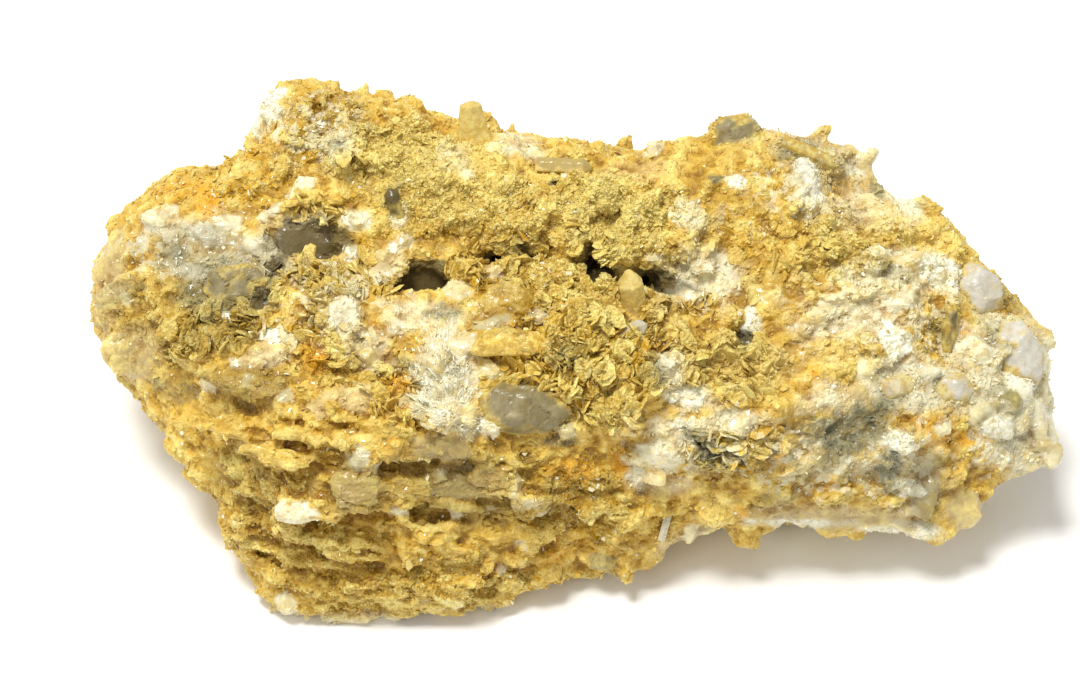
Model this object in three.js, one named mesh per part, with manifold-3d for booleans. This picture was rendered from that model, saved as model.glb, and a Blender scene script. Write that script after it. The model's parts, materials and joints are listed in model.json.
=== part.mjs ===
// A hand-sized piece of magnesite with quartz crystals and talc, resting on its flat underside.
// Millimetres, +Z up, origin at the middle of the specimen's footprint, on the surface it rests on.
//
// The stone is drawn on its broad crystal face: "across" runs along +X, "up" climbs the face, "out" leaves it.
// faceToPart tips that face back, so that it looks up and towards -Y.

import * as THREE from "three";
import { mergeVertices } from "three/addons/utils/BufferGeometryUtils.js";
import Module from "manifold-3d";

const wasm = await Module();
wasm.setup();

// ---------------------------------------------------------------- driving dimensions

const FACE_TIP = THREE.MathUtils.degToRad(40); // how far the broad face leans back from upright
const FACE_HEIGHT = 20; // the middle of the face above the underside
const HALF_LENGTH = 65; // half of the specimen's length, along X
const HALF_WIDTH = 34; // half of the broad face's width
const FAR_AWAY = 300; // size of the blocks that cut the stone flat
const SEAT_GAP = 0.3; // clearance around a crystal in its socket
const SUNK = { lump: 0.35, talc: 0.16, hollow: 0.25, knob: 0.2 }; // how deep each sits, as a share of its size
const LEAF = { sides: 5, thickness: 0.34, width: 0.75, shorter: 0.8, twist: 25, lean: 0.45 }; // a talc leaf
const BLADE = { sides: 5, thickness: 0.55, width: 0.75 }; // a magnesite blade
const PRISM_TOP = 0.25; // blunt top of a prism's point, as a share of its radius
const EYE_DISTANCE = 100; // where the surface is looked for from, out of the face

// Relief of the whole surface: the height of each kind, the distance between bumps and where its noise starts.
const RELIEF = {
  swell: { height: 1.2, every: 15, start: 0 },
  ridge: { height: 2.4, every: 9, start: 40 },
  knob: { height: 1.2, every: 4.6, start: 80 },
};
const MESH_STEPS = [32, 15, 8]; // faces along the length, the width and the thickness
const FRONT_SQUARENESS = 4; // how boxy the edge of the broad face is, 2 being round
const BACK_SQUARENESS = 4; // the same for the underside

// Outline of the broad face as [across, up], clockwise from the left tip.
const OUTLINE = [
  [-65.5, 8], [-64.5, 12.5], [-59.5, 17], [-56.5, 21], [-51.5, 23.5], [-47.5, 25.5],
  [-43, 30.5], [-41, 34], [-38.5, 36.5], [-33, 36.8], [-28, 35], [-18, 32.5],
  [-10, 30], [2, 26.8], [5, 25.5], [10.5, 25], [15, 27], [20.5, 31],
  [27.5, 32], [35.5, 29.5], [39.5, 26], [41, 22.5], [49.5, 17.5], [53, 12.5],
  [59, 4.5], [61, 0], [62, -5], [64.8, -10.5], [62.5, -14.5], [55, -18],
  [49.5, -25], [41, -24], [29, -22.5], [25, -23.5], [16.5, -23.5], [11, -25.5],
  [6, -27.5], [-4, -28.5], [-9, -31.5], [-13, -34], [-18, -33.5], [-22, -34],
  [-27, -36.5], [-31, -36.5], [-34, -34.5], [-39, -36], [-41, -31.5], [-46.5, -22],
  [-51.5, -13], [-57, -6], [-61.5, -3], [-64, 2],
];

// Planes that bound the broad face. Each passes through a point and falls away by its slope per millimetre.
const FACE_PLANES = [
  { at: [-10, -12, 20], slope: [-0.04, -0.5] }, // crystal face, climbing to the rear rim
  { at: [30, 0, 14], slope: [-0.26, -0.34] }, // right-hand face
  { at: [-10, -12, 20.5], slope: [0.06, 0.46] }, // ledged front face, left
  { at: [35, -11, 13.5], slope: [-0.08, 0.5] }, // front face, right
  { at: [-50, 0, 12], slope: [0.55, -0.04] }, // left end
];

// Rises and, where the height is negative, troughs of the broad face: [across, up], reach each way and height.
const RISES = [
  { spot: [6, 18.5], reach: [13, 4.5], height: 3.4 }, // druzy shelf over the hollows
  { spot: [0, 0], reach: [13, 7.5], height: 2.8 }, // leafy heap
  { spot: [-33, 27], reach: [8, 6], height: 2.6 }, // crest at the upper left
  { spot: [-14, 22], reach: [8, 5], height: 1.8 }, // grainy swell below the skyline
  { spot: [24, 24], reach: [9, 6], height: 3.2 }, // hump at the upper right
  { spot: [43, 7], reach: [8, 6], height: 2 }, // ridged right-hand shoulder
  { spot: [-30, -14], reach: [9, 7], height: 2.4 }, // belly of the ledged face
  { spot: [28, -14], reach: [11, 5], height: 2 }, // lower right-hand swell
  { spot: [-34, 12.5], reach: [8, 3.4], height: -3.4 }, // trough of the left-hand hollow
  { spot: [-18, 10.5], reach: [9, 3.2], height: -3.6 }, // trough of the long hollow
  { spot: [10, 9.5], reach: [7, 2.6], height: -2.6 }, // trough below the shelf
  { spot: [23, 10], reach: [4, 8], height: -2.2 }, // gully beside the shelf
  { spot: [36, -9], reach: [9, 2.6], height: -1.8 }, // gully above the lower right-hand swell
];

// Planes that bound the underside, as the height above the underside's level.
const REAR_WALL = { at: [0, 32, -10], slope: [0.05, 0.9] };
const LEFT_UNDERCUT = { across: -63, height: 17, slope: -0.9 };
const RIGHT_UNDERCUT = { across: 62, height: 14, slope: 0.6 };
const UNDERSIDE_SPARE = 2; // what the flat underside is cut away from

// Flat fractures behind the rim: a point of each and the way it faces, both in the face's own frame.
const FRACTURES = [
  { at: [-36, 37, -12.5], facing: [-0.4, 0.7, -0.6] }, // rear, left
  { at: [-6, 29, -11.5], facing: [0.16, 0.68, -0.72] }, // rear, middle
  { at: [33, 30, -9.5], facing: [0.34, 0.58, -0.74] }, // rear, right
  { at: [54, 10, -2.5], facing: [0.72, 0.42, -0.55] }, // right-hand end, behind
  { at: [-63, 6, -9], facing: [-0.78, 0.1, -0.6] }, // left-hand end
  { at: [-46, -22, -2], facing: [-0.62, -0.5, -0.6] }, // lower left corner
  { at: [52, -20, -1], facing: [0.3, -0.5, -0.8] }, // lower right corner
];

const INSIDE_RIM = 0.94; // share of the way to the outline that crystals keep inside
const RIM = { out: -3, slope: [0.06, -0.2] }; // where the widest edge of the stone lies

// Hollows under the druzy shelf: [across, up], half sizes and turn in degrees.
const HOLLOWS = [
  { spot: [-35, 13.5], size: [4.6, 2.6, 5.5], turn: -8 },
  { spot: [-20.5, 9.2], size: [5.4, 2.1, 6.5], turn: 4 },
  { spot: [-11.5, 12.2], size: [3, 1.5, 5], turn: 12 },
  { spot: [2.5, 11.5], size: [3.4, 1.7, 5], turn: -12 },
  { spot: [10.5, 8.6], size: [4, 1.9, 5], turn: -14 },
  { spot: [48.2, 2.6], size: [1.7, 4.2, 4], turn: -8 },
  { spot: [36, -10], size: [6.5, 1.4, 3], turn: 6 },
];

// Rows of ledges on the front face: how far up each starts, and what it runs between.
const LEDGE_ROWS = [
  { up: -5, from: -43, to: -24 },
  { up: -10, from: -41, to: -8 },
  { up: -15, from: -38, to: 0 },
  { up: -20, from: -34, to: 4 },
  { up: -25, from: -32, to: -6 },
];
const LEDGE_LEAN = THREE.MathUtils.degToRad(24); // the front face's lean from the broad face

// Quartz prisms: where they stand, where their axis points, and their size.
const QUARTZ_PRISMS = {
  quartz_centre: { spot: [7.3, 6.2], axis: [-0.16, 0.8, 0.58], radius: 1.8, length: 8.2, tip: 1.9, sink: 3 },
  quartz_short: { spot: [6.6, 2.4], axis: [0.82, 0.42, 0.4], radius: 1.15, length: 4.6, tip: 0.6, sink: 2 },
  quartz_needle: { spot: [11.2, -23.6], axis: [0.24, 0.93, 0.2], radius: 0.55, length: 5, tip: 0.5, sink: 0.9 },
  quartz_upper: { spot: [-23.4, 18.6], axis: [-0.3, 0.85, 0.42], radius: 1.1, length: 4.6, tip: 0.8, sink: 1.6 },
  quartz_column: { spot: [-13.4, 28.4], axis: [-0.12, 0.96, 0.3], radius: 1.6, length: 7.4, tip: 0.5, sink: 2.4 },
  quartz_rear_blade: { spot: [27.2, 27.6], axis: [0.9, -0.4, 0.16], radius: 1.4, length: 9, tip: 1.2, sink: 0.6 },
  quartz_skyline: { spot: [-4, 24.4], axis: [0.96, -0.06, 0.26], radius: 1.3, length: 7.6, tip: 1, sink: 1.3 },
};

// Broken lumps of quartz: where they sit and their half sizes.
const QUARTZ_LUMPS = {
  quartz_rear_lump: { spot: [21.4, 28.2], size: [3.8, 3.2, 3], turn: 10 },
  quartz_right: { spot: [53, 8], size: [3.4, 4, 2.8], turn: 35 },
  quartz_end: { spot: [58.6, -0.6], size: [3.4, 5.2, 3], turn: 12 },
  quartz_shard: { spot: [48.2, 2.8], size: [1.1, 4.4, 1.6], turn: -8 },
  quartz_slab: { spot: [-6.8, -7], size: [6.4, 3.4, 2.6], turn: -4 },
  quartz_left: { spot: [-44, 8.6], size: [4.8, 3, 2.4], turn: 8 },
  quartz_pale_near: { spot: [48.4, -4.8], size: [2.7, 2.2, 2], turn: 0 },
  quartz_pale_far: { spot: [41, -4.4], size: [2.5, 2, 1.8], turn: 20 },
};

// Books of talc leaves: where they sit, a leaf's half length, how wide the fan spreads and how many leaves.
const TALC_BOOKS = {
  talc_fan: { spot: [-18.2, -3.4], reach: 5.2, spread: 120, leaves: 3, turn: 80 },
  talc_left: { spot: [-50, 14.6], reach: 5, spread: 90, leaves: 3, turn: 10 },
  talc_crest: { spot: [-38.6, 31], reach: 3.8, spread: 110, leaves: 2, turn: 60 },
  talc_middle: { spot: [16.6, -6.2], reach: 4.6, spread: 100, leaves: 3, turn: 15 },
  talc_glint: { spot: [23, 4], reach: 2.6, spread: 130, leaves: 2, turn: 70 },
  talc_grey: { spot: [38.4, -12.6], reach: 4.6, spread: 80, leaves: 2, turn: 30 },
  talc_right: { spot: [44.6, -17.6], reach: 3.6, spread: 100, leaves: 2, turn: -20 },
};

const COLOURS = {
  magnesite: { color: 0xc79a45, roughness: 0.8, metalness: 0 },
  quartz: { color: 0xc9c6b8, roughness: 0.15, metalness: 0, transparent: true, opacity: 0.6 },
  talc: { color: 0xe9e7d8, roughness: 0.45, metalness: 0 },
};

// ---------------------------------------------------------------- small tools

function seededRandom(seed) {
  let state = seed;
  return () => {
    state = (state * 1664525 + 1013904223) % 4294967296;
    return state / 4294967296;
  };
}

function latticeValue(i, j, k) {
  const wave = Math.sin(i * 127.1 + j * 311.7 + k * 74.7) * 43758.5453;
  return 2 * (wave - Math.floor(wave)) - 1;
}

// Smooth noise from -1 to 1, one bump for each unit of p.
function noise(p) {
  const [i, j, k] = [Math.floor(p.x), Math.floor(p.y), Math.floor(p.z)];
  const [a, b, c] = [p.x - i, p.y - j, p.z - k].map((t) => t * t * (3 - 2 * t));
  const mix = THREE.MathUtils.lerp;
  const edge = (dj, dk) => mix(latticeValue(i, j + dj, k + dk), latticeValue(i + 1, j + dj, k + dk), a);
  return mix(mix(edge(0, 0), edge(1, 0), b), mix(edge(0, 1), edge(1, 1), b), c);
}

function solidOf(geometry) {
  const bare = geometry.clone();
  bare.deleteAttribute("normal");
  bare.deleteAttribute("uv");
  const merged = mergeVertices(bare, 1e-4);
  const solid = new wasm.Manifold(
    new wasm.Mesh({
      numProp: 3,
      vertProperties: merged.attributes.position.array,
      triVerts: new Uint32Array(merged.index.array),
    }),
  );
  return solid;
}

function geometryOf(solid) {
  const mesh = solid.getMesh();
  const geometry = new THREE.BufferGeometry();
  geometry.setAttribute("position", new THREE.BufferAttribute(mesh.vertProperties, 3));
  geometry.setIndex(new THREE.BufferAttribute(mesh.triVerts, 1));
  geometry.computeVertexNormals();
  return geometry;
}

// ---------------------------------------------------------------- the stone's form

const tipBack = new THREE.Matrix4()
  .makeTranslation(0, 0, FACE_HEIGHT)
  .multiply(new THREE.Matrix4().makeRotationX(FACE_TIP));

function faceToPart(across, up, out) {
  return new THREE.Vector3(across, up, out).applyMatrix4(tipBack);
}

// The point of the outline that lies in a direction from the face's middle.
function outlinePoint(direction) {
  let found = null;
  OUTLINE.forEach((start, n) => {
    const end = OUTLINE[(n + 1) % OUTLINE.length];
    const edge = [end[0] - start[0], end[1] - start[1]];
    const cross = direction.x * edge[1] - direction.y * edge[0];
    if (Math.abs(cross) < 1e-9) return;
    const along = (start[0] * edge[1] - start[1] * edge[0]) / cross;
    const share = (start[0] * direction.y - start[1] * direction.x) / cross;
    if (along > 0 && share >= -1e-9 && share <= 1 + 1e-9) found = along;
  });
  return direction.clone().multiplyScalar(found);
}

function planeOut(plane, across, up) {
  return plane.at[2] + plane.slope[0] * (across - plane.at[0]) + plane.slope[1] * (up - plane.at[1]);
}

function faceOut(across, up) {
  const plane = Math.min(...FACE_PLANES.map((each) => planeOut(each, across, up)));
  const rises = RISES.map(({ spot, reach, height }) => {
    const far = ((across - spot[0]) / reach[0]) ** 2 + ((up - spot[1]) / reach[1]) ** 2;
    return height * Math.exp(-far);
  });
  return rises.reduce((total, rise) => total + rise, plane);
}

// How far out a point of the face's own frame lies if it is to be at a height above the underside.
function outAtHeight(height, up) {
  return (height - FACE_HEIGHT - up * Math.sin(FACE_TIP)) / Math.cos(FACE_TIP);
}

function undersideOut(across, up) {
  const left = LEFT_UNDERCUT.height + LEFT_UNDERCUT.slope * (across - LEFT_UNDERCUT.across);
  const right = RIGHT_UNDERCUT.height + RIGHT_UNDERCUT.slope * (across - RIGHT_UNDERCUT.across);
  const lowest = outAtHeight(Math.max(-UNDERSIDE_SPARE, left, right), up);
  return Math.max(lowest, planeOut(REAR_WALL, across, up));
}

// Takes a point of a box, from -1 to 1 on each axis, to the stone's surface.
function stonePoint(box) {
  const power = box.z > 0 ? FRONT_SQUARENESS : BACK_SQUARENESS;
  const raise = (t) => Math.abs(t) ** power;
  const size = (raise(box.x) + raise(box.y) + raise(box.z)) ** (1 / power);
  const reach = (raise(box.x) + raise(box.y)) ** (1 / power) / size;
  const direction = new THREE.Vector2(box.x * HALF_LENGTH, box.y * HALF_WIDTH);
  const onFace = direction.lengthSq() > 0 ? outlinePoint(direction).multiplyScalar(reach) : direction;
  const rim = RIM.out + RIM.slope[0] * onFace.x + RIM.slope[1] * onFace.y;
  const far = box.z > 0 ? faceOut(onFace.x, onFace.y) : undersideOut(onFace.x, onFace.y);
  const out = rim + (Math.abs(box.z) / size) * (far - rim);
  return faceToPart(onFace.x, onFace.y, out);
}

// Where a point of the surface lies in the noise of one kind of relief.
function reliefPoint(point, kind) {
  const { every, start } = RELIEF[kind];
  return point.clone().divideScalar(every).addScalar(start);
}

// Raises and sinks the surface along its normals in broad swells, ridges and knobs.
function roughen(geometry) {
  geometry.computeVertexNormals();
  const { position, normal } = geometry.attributes;
  const point = new THREE.Vector3();
  const facing = new THREE.Vector3();
  for (let n = 0; n < position.count; n++) {
    point.fromBufferAttribute(position, n);
    facing.fromBufferAttribute(normal, n);
    const swell = RELIEF.swell.height * noise(reliefPoint(point, "swell"));
    const ridge = RELIEF.ridge.height * (0.5 - Math.abs(noise(reliefPoint(point, "ridge"))));
    const knob = RELIEF.knob.height * noise(reliefPoint(point, "knob"));
    point.addScaledVector(facing, swell + ridge + knob);
    position.setXYZ(n, point.x, point.y, point.z);
  }
  return geometry;
}

function stoneGeometry() {
  const box = new THREE.BoxGeometry(2, 2, 2, ...MESH_STEPS);
  box.deleteAttribute("normal");
  box.deleteAttribute("uv");
  const geometry = mergeVertices(box, 1e-5);
  const { position } = geometry.attributes;
  const corner = new THREE.Vector3();
  for (let n = 0; n < position.count; n++) {
    corner.fromBufferAttribute(position, n);
    const point = stonePoint(corner);
    position.setXYZ(n, point.x, point.y, point.z);
  }
  return roughen(geometry);
}

// ---------------------------------------------------------------- crystals

const stone = stoneGeometry();
const stoneMesh = new THREE.Mesh(stone);
const outward = faceToPart(0, 0, 1).sub(faceToPart(0, 0, 0)).normalize();

// The point of the stone's surface behind a spot on the broad face, or behind the nearest spot inside its rim.
function surfaceAt(spot) {
  const wanted = new THREE.Vector2(...spot);
  const kept = wanted.clampLength(0, INSIDE_RIM * outlinePoint(wanted).length());
  const eye = faceToPart(kept.x, kept.y, EYE_DISTANCE);
  const ray = new THREE.Raycaster(eye, outward.clone().negate());
  return ray.intersectObject(stoneMesh)[0].point;
}

function faceDirection([across, up, out]) {
  return new THREE.Vector3(across, up, out).transformDirection(tipBack);
}

// Stands a shape on a point with its own +Y along an axis, turned round that axis.
function standOn(geometry, point, axis, spin = 0) {
  const stand = new THREE.Quaternion().setFromUnitVectors(new THREE.Vector3(0, 1, 0), axis);
  const turn = new THREE.Quaternion().setFromAxisAngle(new THREE.Vector3(0, 1, 0), spin);
  const place = new THREE.Matrix4().compose(point, stand.multiply(turn), new THREE.Vector3(1, 1, 1));
  return geometry.applyMatrix4(place);
}

// Lies a shape on a spot, its X across the face turned by some degrees and its Z out of the face.
function layOn(geometry, point, turn) {
  const spin = new THREE.Matrix4().makeRotationZ(THREE.MathUtils.degToRad(turn));
  const tip = new THREE.Matrix4().makeRotationX(FACE_TIP);
  const place = new THREE.Matrix4().makeTranslation(point.x, point.y, point.z).multiply(tip).multiply(spin);
  return geometry.applyMatrix4(place);
}

// Six-sided prism with a pointed end, from its root at the origin along +Y.
function prism(radius, length, tip) {
  const profile = [
    new THREE.Vector2(0, 0),
    new THREE.Vector2(radius, 0),
    new THREE.Vector2(radius, length - tip),
    new THREE.Vector2(radius * PRISM_TOP, length),
    new THREE.Vector2(0, length),
  ];
  return new THREE.LatheGeometry(profile, 6);
}

// Lens-shaped crystal with a sharp rim, its flat way along Y.
function lens(radius, thickness, sides) {
  const profile = [
    new THREE.Vector2(0, -thickness / 2),
    new THREE.Vector2(radius, 0),
    new THREE.Vector2(0, thickness / 2),
  ];
  return new THREE.LatheGeometry(profile, sides);
}

function lump(size) {
  return new THREE.DodecahedronGeometry(1, 0).scale(...size);
}

function prismSolid({ spot, axis, radius, length, tip, sink }, grow = 0) {
  const along = faceDirection(axis);
  const root = surfaceAt(spot).addScaledVector(along, -sink - grow);
  const corner = radius + grow / Math.cos(Math.PI / 6);
  return solidOf(standOn(prism(corner, length + 2 * grow, tip), root, along));
}

function lumpSolid({ spot, size, turn }, grow = 0) {
  const middle = surfaceAt(spot).addScaledVector(outward, -size[2] * SUNK.lump);
  const halves = size.map((half) => half + 1.3 * grow); // a face of the lump lies inside its half size
  return solidOf(layOn(lump(halves), middle, turn));
}

// Talc leaves that fan out from one line, joined where they meet.
function bookSolid({ spot, reach, spread, leaves, turn }, grow = 0) {
  const middle = surfaceAt(spot).addScaledVector(outward, -reach * SUNK.talc);
  let book = null;
  for (let n = 0; n < leaves; n++) {
    const lean = THREE.MathUtils.degToRad(spread * (n / (leaves - 1) - 0.5));
    const size = reach * (n % 2 ? LEAF.shorter : 1);
    const leaf = lens(size + 1.4 * grow, size * LEAF.thickness + 3 * grow, LEAF.sides).scale(1, 1, LEAF.width);
    leaf.rotateX(Math.PI / 2 + 0.3 * Math.sin(2.4 * n)).rotateY(lean * LEAF.lean);
    const solid = solidOf(layOn(leaf, middle, turn + n * LEAF.twist));
    book = book ? book.add(solid) : solid;
  }
  return book;
}

function hollowSolid({ spot, size, turn }) {
  const middle = surfaceAt(spot).addScaledVector(outward, -size[2] * SUNK.hollow);
  return solidOf(layOn(lump(size), middle, turn));
}

// ---------------------------------------------------------------- what grows out of the magnesite

// Knobs of the druzy shelf above the hollows.
function shelfKnobs() {
  const random = seededRandom(11);
  const knobs = [];
  for (let n = 0; n < 13; n++) {
    const spot = [-14 + 2.1 * n + 2 * random(), 15.5 - 0.25 * n + 5.5 * random()];
    const radius = 2.4 + 1.4 * random();
    const middle = surfaceAt(spot).addScaledVector(outward, -radius * SUNK.knob);
    const knob = new THREE.IcosahedronGeometry(1, 0).scale(radius * 1.2, radius * 0.8, radius);
    knobs.push(solidOf(layOn(knob, middle, 60 * random())));
  }
  return knobs;
}

// Blades that stand out of the face at all angles inside an oval of it.
function blades({ middle, reach, count, radius, seed }) {
  const random = seededRandom(seed);
  const made = [];
  for (let n = 0; n < count; n++) {
    const turn = 2 * Math.PI * random();
    const far = Math.sqrt(random());
    const spot = [middle[0] + reach[0] * far * Math.cos(turn), middle[1] + reach[1] * far * Math.sin(turn)];
    const axis = faceDirection([2 * random() - 1, 2 * random() - 1, 0.9 * random() - 0.2]);
    const size = radius * (0.7 + 0.6 * random());
    const blade = lens(size, size * BLADE.thickness, BLADE.sides).scale(1, 1, BLADE.width);
    made.push(solidOf(standOn(blade, surfaceAt(spot), axis, 6 * random())));
  }
  return made;
}

// Long thin ledges across the front face, one row above the other, which dip to the right.
function ledges() {
  const random = seededRandom(5);
  const made = [];
  for (const { up, from, to } of LEDGE_ROWS) {
    for (let across = from; across < to; across += 13) {
      const spot = [across + 3 * random(), up - 0.14 * (across - from) + 1.6 * random()];
      const ledge = new THREE.IcosahedronGeometry(1, 0).scale(7 + 2 * random(), 1.7 + 0.7 * random(), 2.4);
      ledge.rotateX(LEDGE_LEAN);
      made.push(solidOf(layOn(ledge, surfaceAt(spot).addScaledVector(outward, -0.6), -8 - 8 * random())));
    }
  }
  return made;
}

// Single crystals that show by themselves: a long one over the slab, and a pale rhomb and a white lens in front.
function loneCrystals() {
  const long = layOn(lump([6.6, 1.9, 2.2]), surfaceAt([-9.6, 1.4]), -3);
  const rhomb = layOn(new THREE.OctahedronGeometry(1, 0).scale(4.8, 6.2, 2.8), surfaceAt([-28.6, -14.8]), 24);
  const white = layOn(new THREE.OctahedronGeometry(1, 0).scale(4.6, 2, 1.8), surfaceAt([-36.2, -21.6]), 4);
  return [long, rhomb, white].map(solidOf);
}

const BLADE_FIELDS = [
  { middle: [0, -1], reach: [13, 8], count: 16, radius: 3, seed: 21 }, // leafy heap below the hollows
  { middle: [-27, 20], reach: [18, 9], count: 12, radius: 2.8, seed: 22 }, // upper left
  { middle: [33, 12], reach: [20, 10], count: 12, radius: 3.2, seed: 23 }, // right
  { middle: [26, -16], reach: [20, 5], count: 8, radius: 2.6, seed: 24 }, // front, right
  { middle: [-52, 8], reach: [7, 8], count: 4, radius: 3, seed: 25 }, // left end
];

// Everything beyond a flat fracture.
function beyond({ at, facing }) {
  const away = new THREE.BoxGeometry(FAR_AWAY, FAR_AWAY, FAR_AWAY).translate(0, FAR_AWAY / 2, 0);
  return solidOf(standOn(away, faceToPart(...at), faceDirection(facing)));
}

function magnesiteSolid(sockets) {
  const grown = [...shelfKnobs(), ...ledges(), ...loneCrystals(), ...BLADE_FIELDS.flatMap(blades)];
  const cut = [...HOLLOWS.map(hollowSolid), ...sockets];
  const belowGround = new THREE.BoxGeometry(FAR_AWAY, FAR_AWAY, FAR_AWAY).translate(0, 0, -FAR_AWAY / 2);
  let body = solidOf(stone);
  for (const fracture of FRACTURES) body = body.subtract(beyond(fracture));
  for (const piece of grown) body = body.add(piece);
  for (const piece of cut) body = body.subtract(piece);
  body = body.subtract(solidOf(belowGround));
  return body.decompose().sort((a, b) => b.volume() - a.volume())[0];
}

// ---------------------------------------------------------------- the scene graph

const specimen = new THREE.Group();

function addMesh(name, geometry, look) {
  const mesh = new THREE.Mesh(geometry, new THREE.MeshStandardMaterial(COLOURS[look]));
  mesh.name = name;
  specimen.add(mesh);
}

const inlays = [
  ...Object.entries(QUARTZ_PRISMS).map(([name, piece]) => ({ name, piece, look: "quartz", make: prismSolid })),
  ...Object.entries(QUARTZ_LUMPS).map(([name, piece]) => ({ name, piece, look: "quartz", make: lumpSolid })),
  ...Object.entries(TALC_BOOKS).map(([name, piece]) => ({ name, piece, look: "talc", make: bookSolid })),
];
const sockets = inlays.map(({ piece, make }) => make(piece, SEAT_GAP));
addMesh("magnesite_mass", geometryOf(magnesiteSolid(sockets)), "magnesite");
for (const { name, piece, look, make } of inlays) addMesh(name, geometryOf(make(piece)), look);

const footprint = new THREE.Box3().setFromObject(specimen).getCenter(new THREE.Vector3());
specimen.position.set(-footprint.x, -footprint.y, 0);

export default specimen;
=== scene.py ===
import json
import math

import bmesh
import bpy
import numpy as np
from mathutils import Matrix, Vector
from mathutils.bvhtree import BVHTree

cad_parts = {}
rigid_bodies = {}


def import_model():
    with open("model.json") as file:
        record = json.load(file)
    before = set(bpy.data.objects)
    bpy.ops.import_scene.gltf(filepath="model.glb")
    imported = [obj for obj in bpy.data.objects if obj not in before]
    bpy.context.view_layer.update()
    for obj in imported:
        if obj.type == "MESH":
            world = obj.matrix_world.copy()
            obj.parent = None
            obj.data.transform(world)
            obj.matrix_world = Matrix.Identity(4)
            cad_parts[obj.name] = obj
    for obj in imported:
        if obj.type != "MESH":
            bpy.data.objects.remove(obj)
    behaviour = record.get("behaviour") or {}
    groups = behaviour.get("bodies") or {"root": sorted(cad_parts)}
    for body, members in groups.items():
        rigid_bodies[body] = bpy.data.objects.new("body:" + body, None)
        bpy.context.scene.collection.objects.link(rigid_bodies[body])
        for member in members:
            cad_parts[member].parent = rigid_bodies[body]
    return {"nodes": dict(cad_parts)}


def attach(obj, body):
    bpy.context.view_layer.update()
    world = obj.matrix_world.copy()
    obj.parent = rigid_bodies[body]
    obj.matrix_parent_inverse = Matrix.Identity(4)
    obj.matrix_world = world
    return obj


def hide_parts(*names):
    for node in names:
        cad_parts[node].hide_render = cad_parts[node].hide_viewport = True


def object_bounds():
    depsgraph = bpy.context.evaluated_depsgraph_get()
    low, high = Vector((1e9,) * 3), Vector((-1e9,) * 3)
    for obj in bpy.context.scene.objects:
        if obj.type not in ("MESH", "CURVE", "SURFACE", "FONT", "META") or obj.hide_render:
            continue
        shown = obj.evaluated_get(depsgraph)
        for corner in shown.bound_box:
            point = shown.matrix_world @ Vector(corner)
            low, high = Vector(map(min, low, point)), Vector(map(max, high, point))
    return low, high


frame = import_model()
cadBox = [list(corner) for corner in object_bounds()]
boxLow, boxHigh = (np.array(corner) for corner in cadBox)
mm = 0.001

solids = {name: node.data for name, node in frame["nodes"].items()}

# the broad crystal face: its middle, and the ways across, up and out of it
faceTip = math.radians(40)
faceMiddle = Vector((0.58, -2.59, 20)) * mm
across = Vector((1, 0, 0))
up = Vector((0, math.cos(faceTip), math.sin(faceTip)))
out = Vector((0, -math.sin(faceTip), math.cos(faceTip)))
faceAxes = np.array([across, up, out])
sideways, upward, outward = (np.array(way) for way in (across, up, out))

# camera

view = {
    "picture": (1080, 695),  # pixels
    "focal": 100,
    "sensor": 36,
    "distance": 396.3 * mm,
    "aim": (-4.76 * mm, 0.59 * mm),  # across and up the face
    "nearest": 0.01,
}
eye = faceMiddle + across * view["aim"][0] + up * view["aim"][1] + out * view["distance"]
pixelsPerSlope = view["picture"][0] * view["focal"] / view["sensor"]


def added(name, data):
    made = bpy.data.objects.new(name, data)
    bpy.context.scene.collection.objects.link(made)
    return made


def makeCamera():
    data = bpy.data.cameras.new("camera")
    data.lens = view["focal"]
    data.sensor_width = view["sensor"]
    data.clip_start = view["nearest"]
    camera = added("camera", data)
    camera.location = eye
    camera.rotation_euler = (faceTip, 0, 0)
    bpy.context.scene.camera = camera


def pixelRay(x, y):
    right = (x - view["picture"][0] / 2) / pixelsPerSlope
    rise = (view["picture"][1] / 2 - y) / pixelsPerSlope
    return (across * right + up * rise - out).normalized()


makeCamera()
print("camera placed")

# noise and crystal cells

primes = {"cell": (73856093, 19349663, 83492791), "seed": 7919, "number": 104729, "stir": 73244475}
largest = 2**32 - 1


def cellHash(cells, seed):
    # three numbers from 0 to 1 for each whole-number cell
    first, second, third = primes["cell"]
    mix = cells[..., 0] * first ^ cells[..., 1] * second ^ cells[..., 2] * third
    found = []
    for n in range(3):
        h = (mix + seed * primes["seed"] + n * primes["number"]) & largest
        for again in range(2):
            h = ((h >> 16) ^ h) * primes["stir"] & largest
        found.append(((h >> 16) ^ h) / largest)
    return np.stack(found, -1)


def noise(points, size, seed=0):
    # smooth noise from -1 to 1, one bump to each size
    spot = points / size
    low = np.floor(spot).astype(np.int64)
    t = spot - low
    t = t * t * (3 - 2 * t)
    total = np.zeros(len(points))
    for corner in np.ndindex(2, 2, 2):
        weight = np.prod(np.where(corner, t, 1 - t), axis=1)
        total += weight * cellHash(low + np.array(corner), seed)[:, 0]
    return total * 2 - 1


def layered(points, layers):
    # several noises in one, each by its size, height and seed
    return sum(height * noise(points, size, seed) for size, height, seed in layers)


def grains(points, seed):
    # the cell of each point, for cells one unit wide: the way from its middle, and its own three numbers
    home = np.floor(points).astype(np.int64)
    best = np.full(len(points), np.inf)
    offset = np.zeros((len(points), 3))
    own = np.zeros((len(points), 3))
    for step in np.ndindex(3, 3, 3):
        cell = home + np.array(step) - 1
        away = points - (cell + cellHash(cell, seed))
        far = np.sqrt((away**2).sum(1))
        nearer = far < best
        offset[nearer] = away[nearer]
        own[nearer] = cellHash(cell[nearer], seed + 50)
        best = np.minimum(best, far)
    return offset, own


def smooth(low, high, value):
    t = np.clip((value - low) / (high - low), 0, 1)
    return t * t * (3 - 2 * t)


def unit(vectors):
    return vectors / np.maximum(np.linalg.norm(vectors, axis=-1, keepdims=True), 1e-12)


# mesh tools


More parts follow.
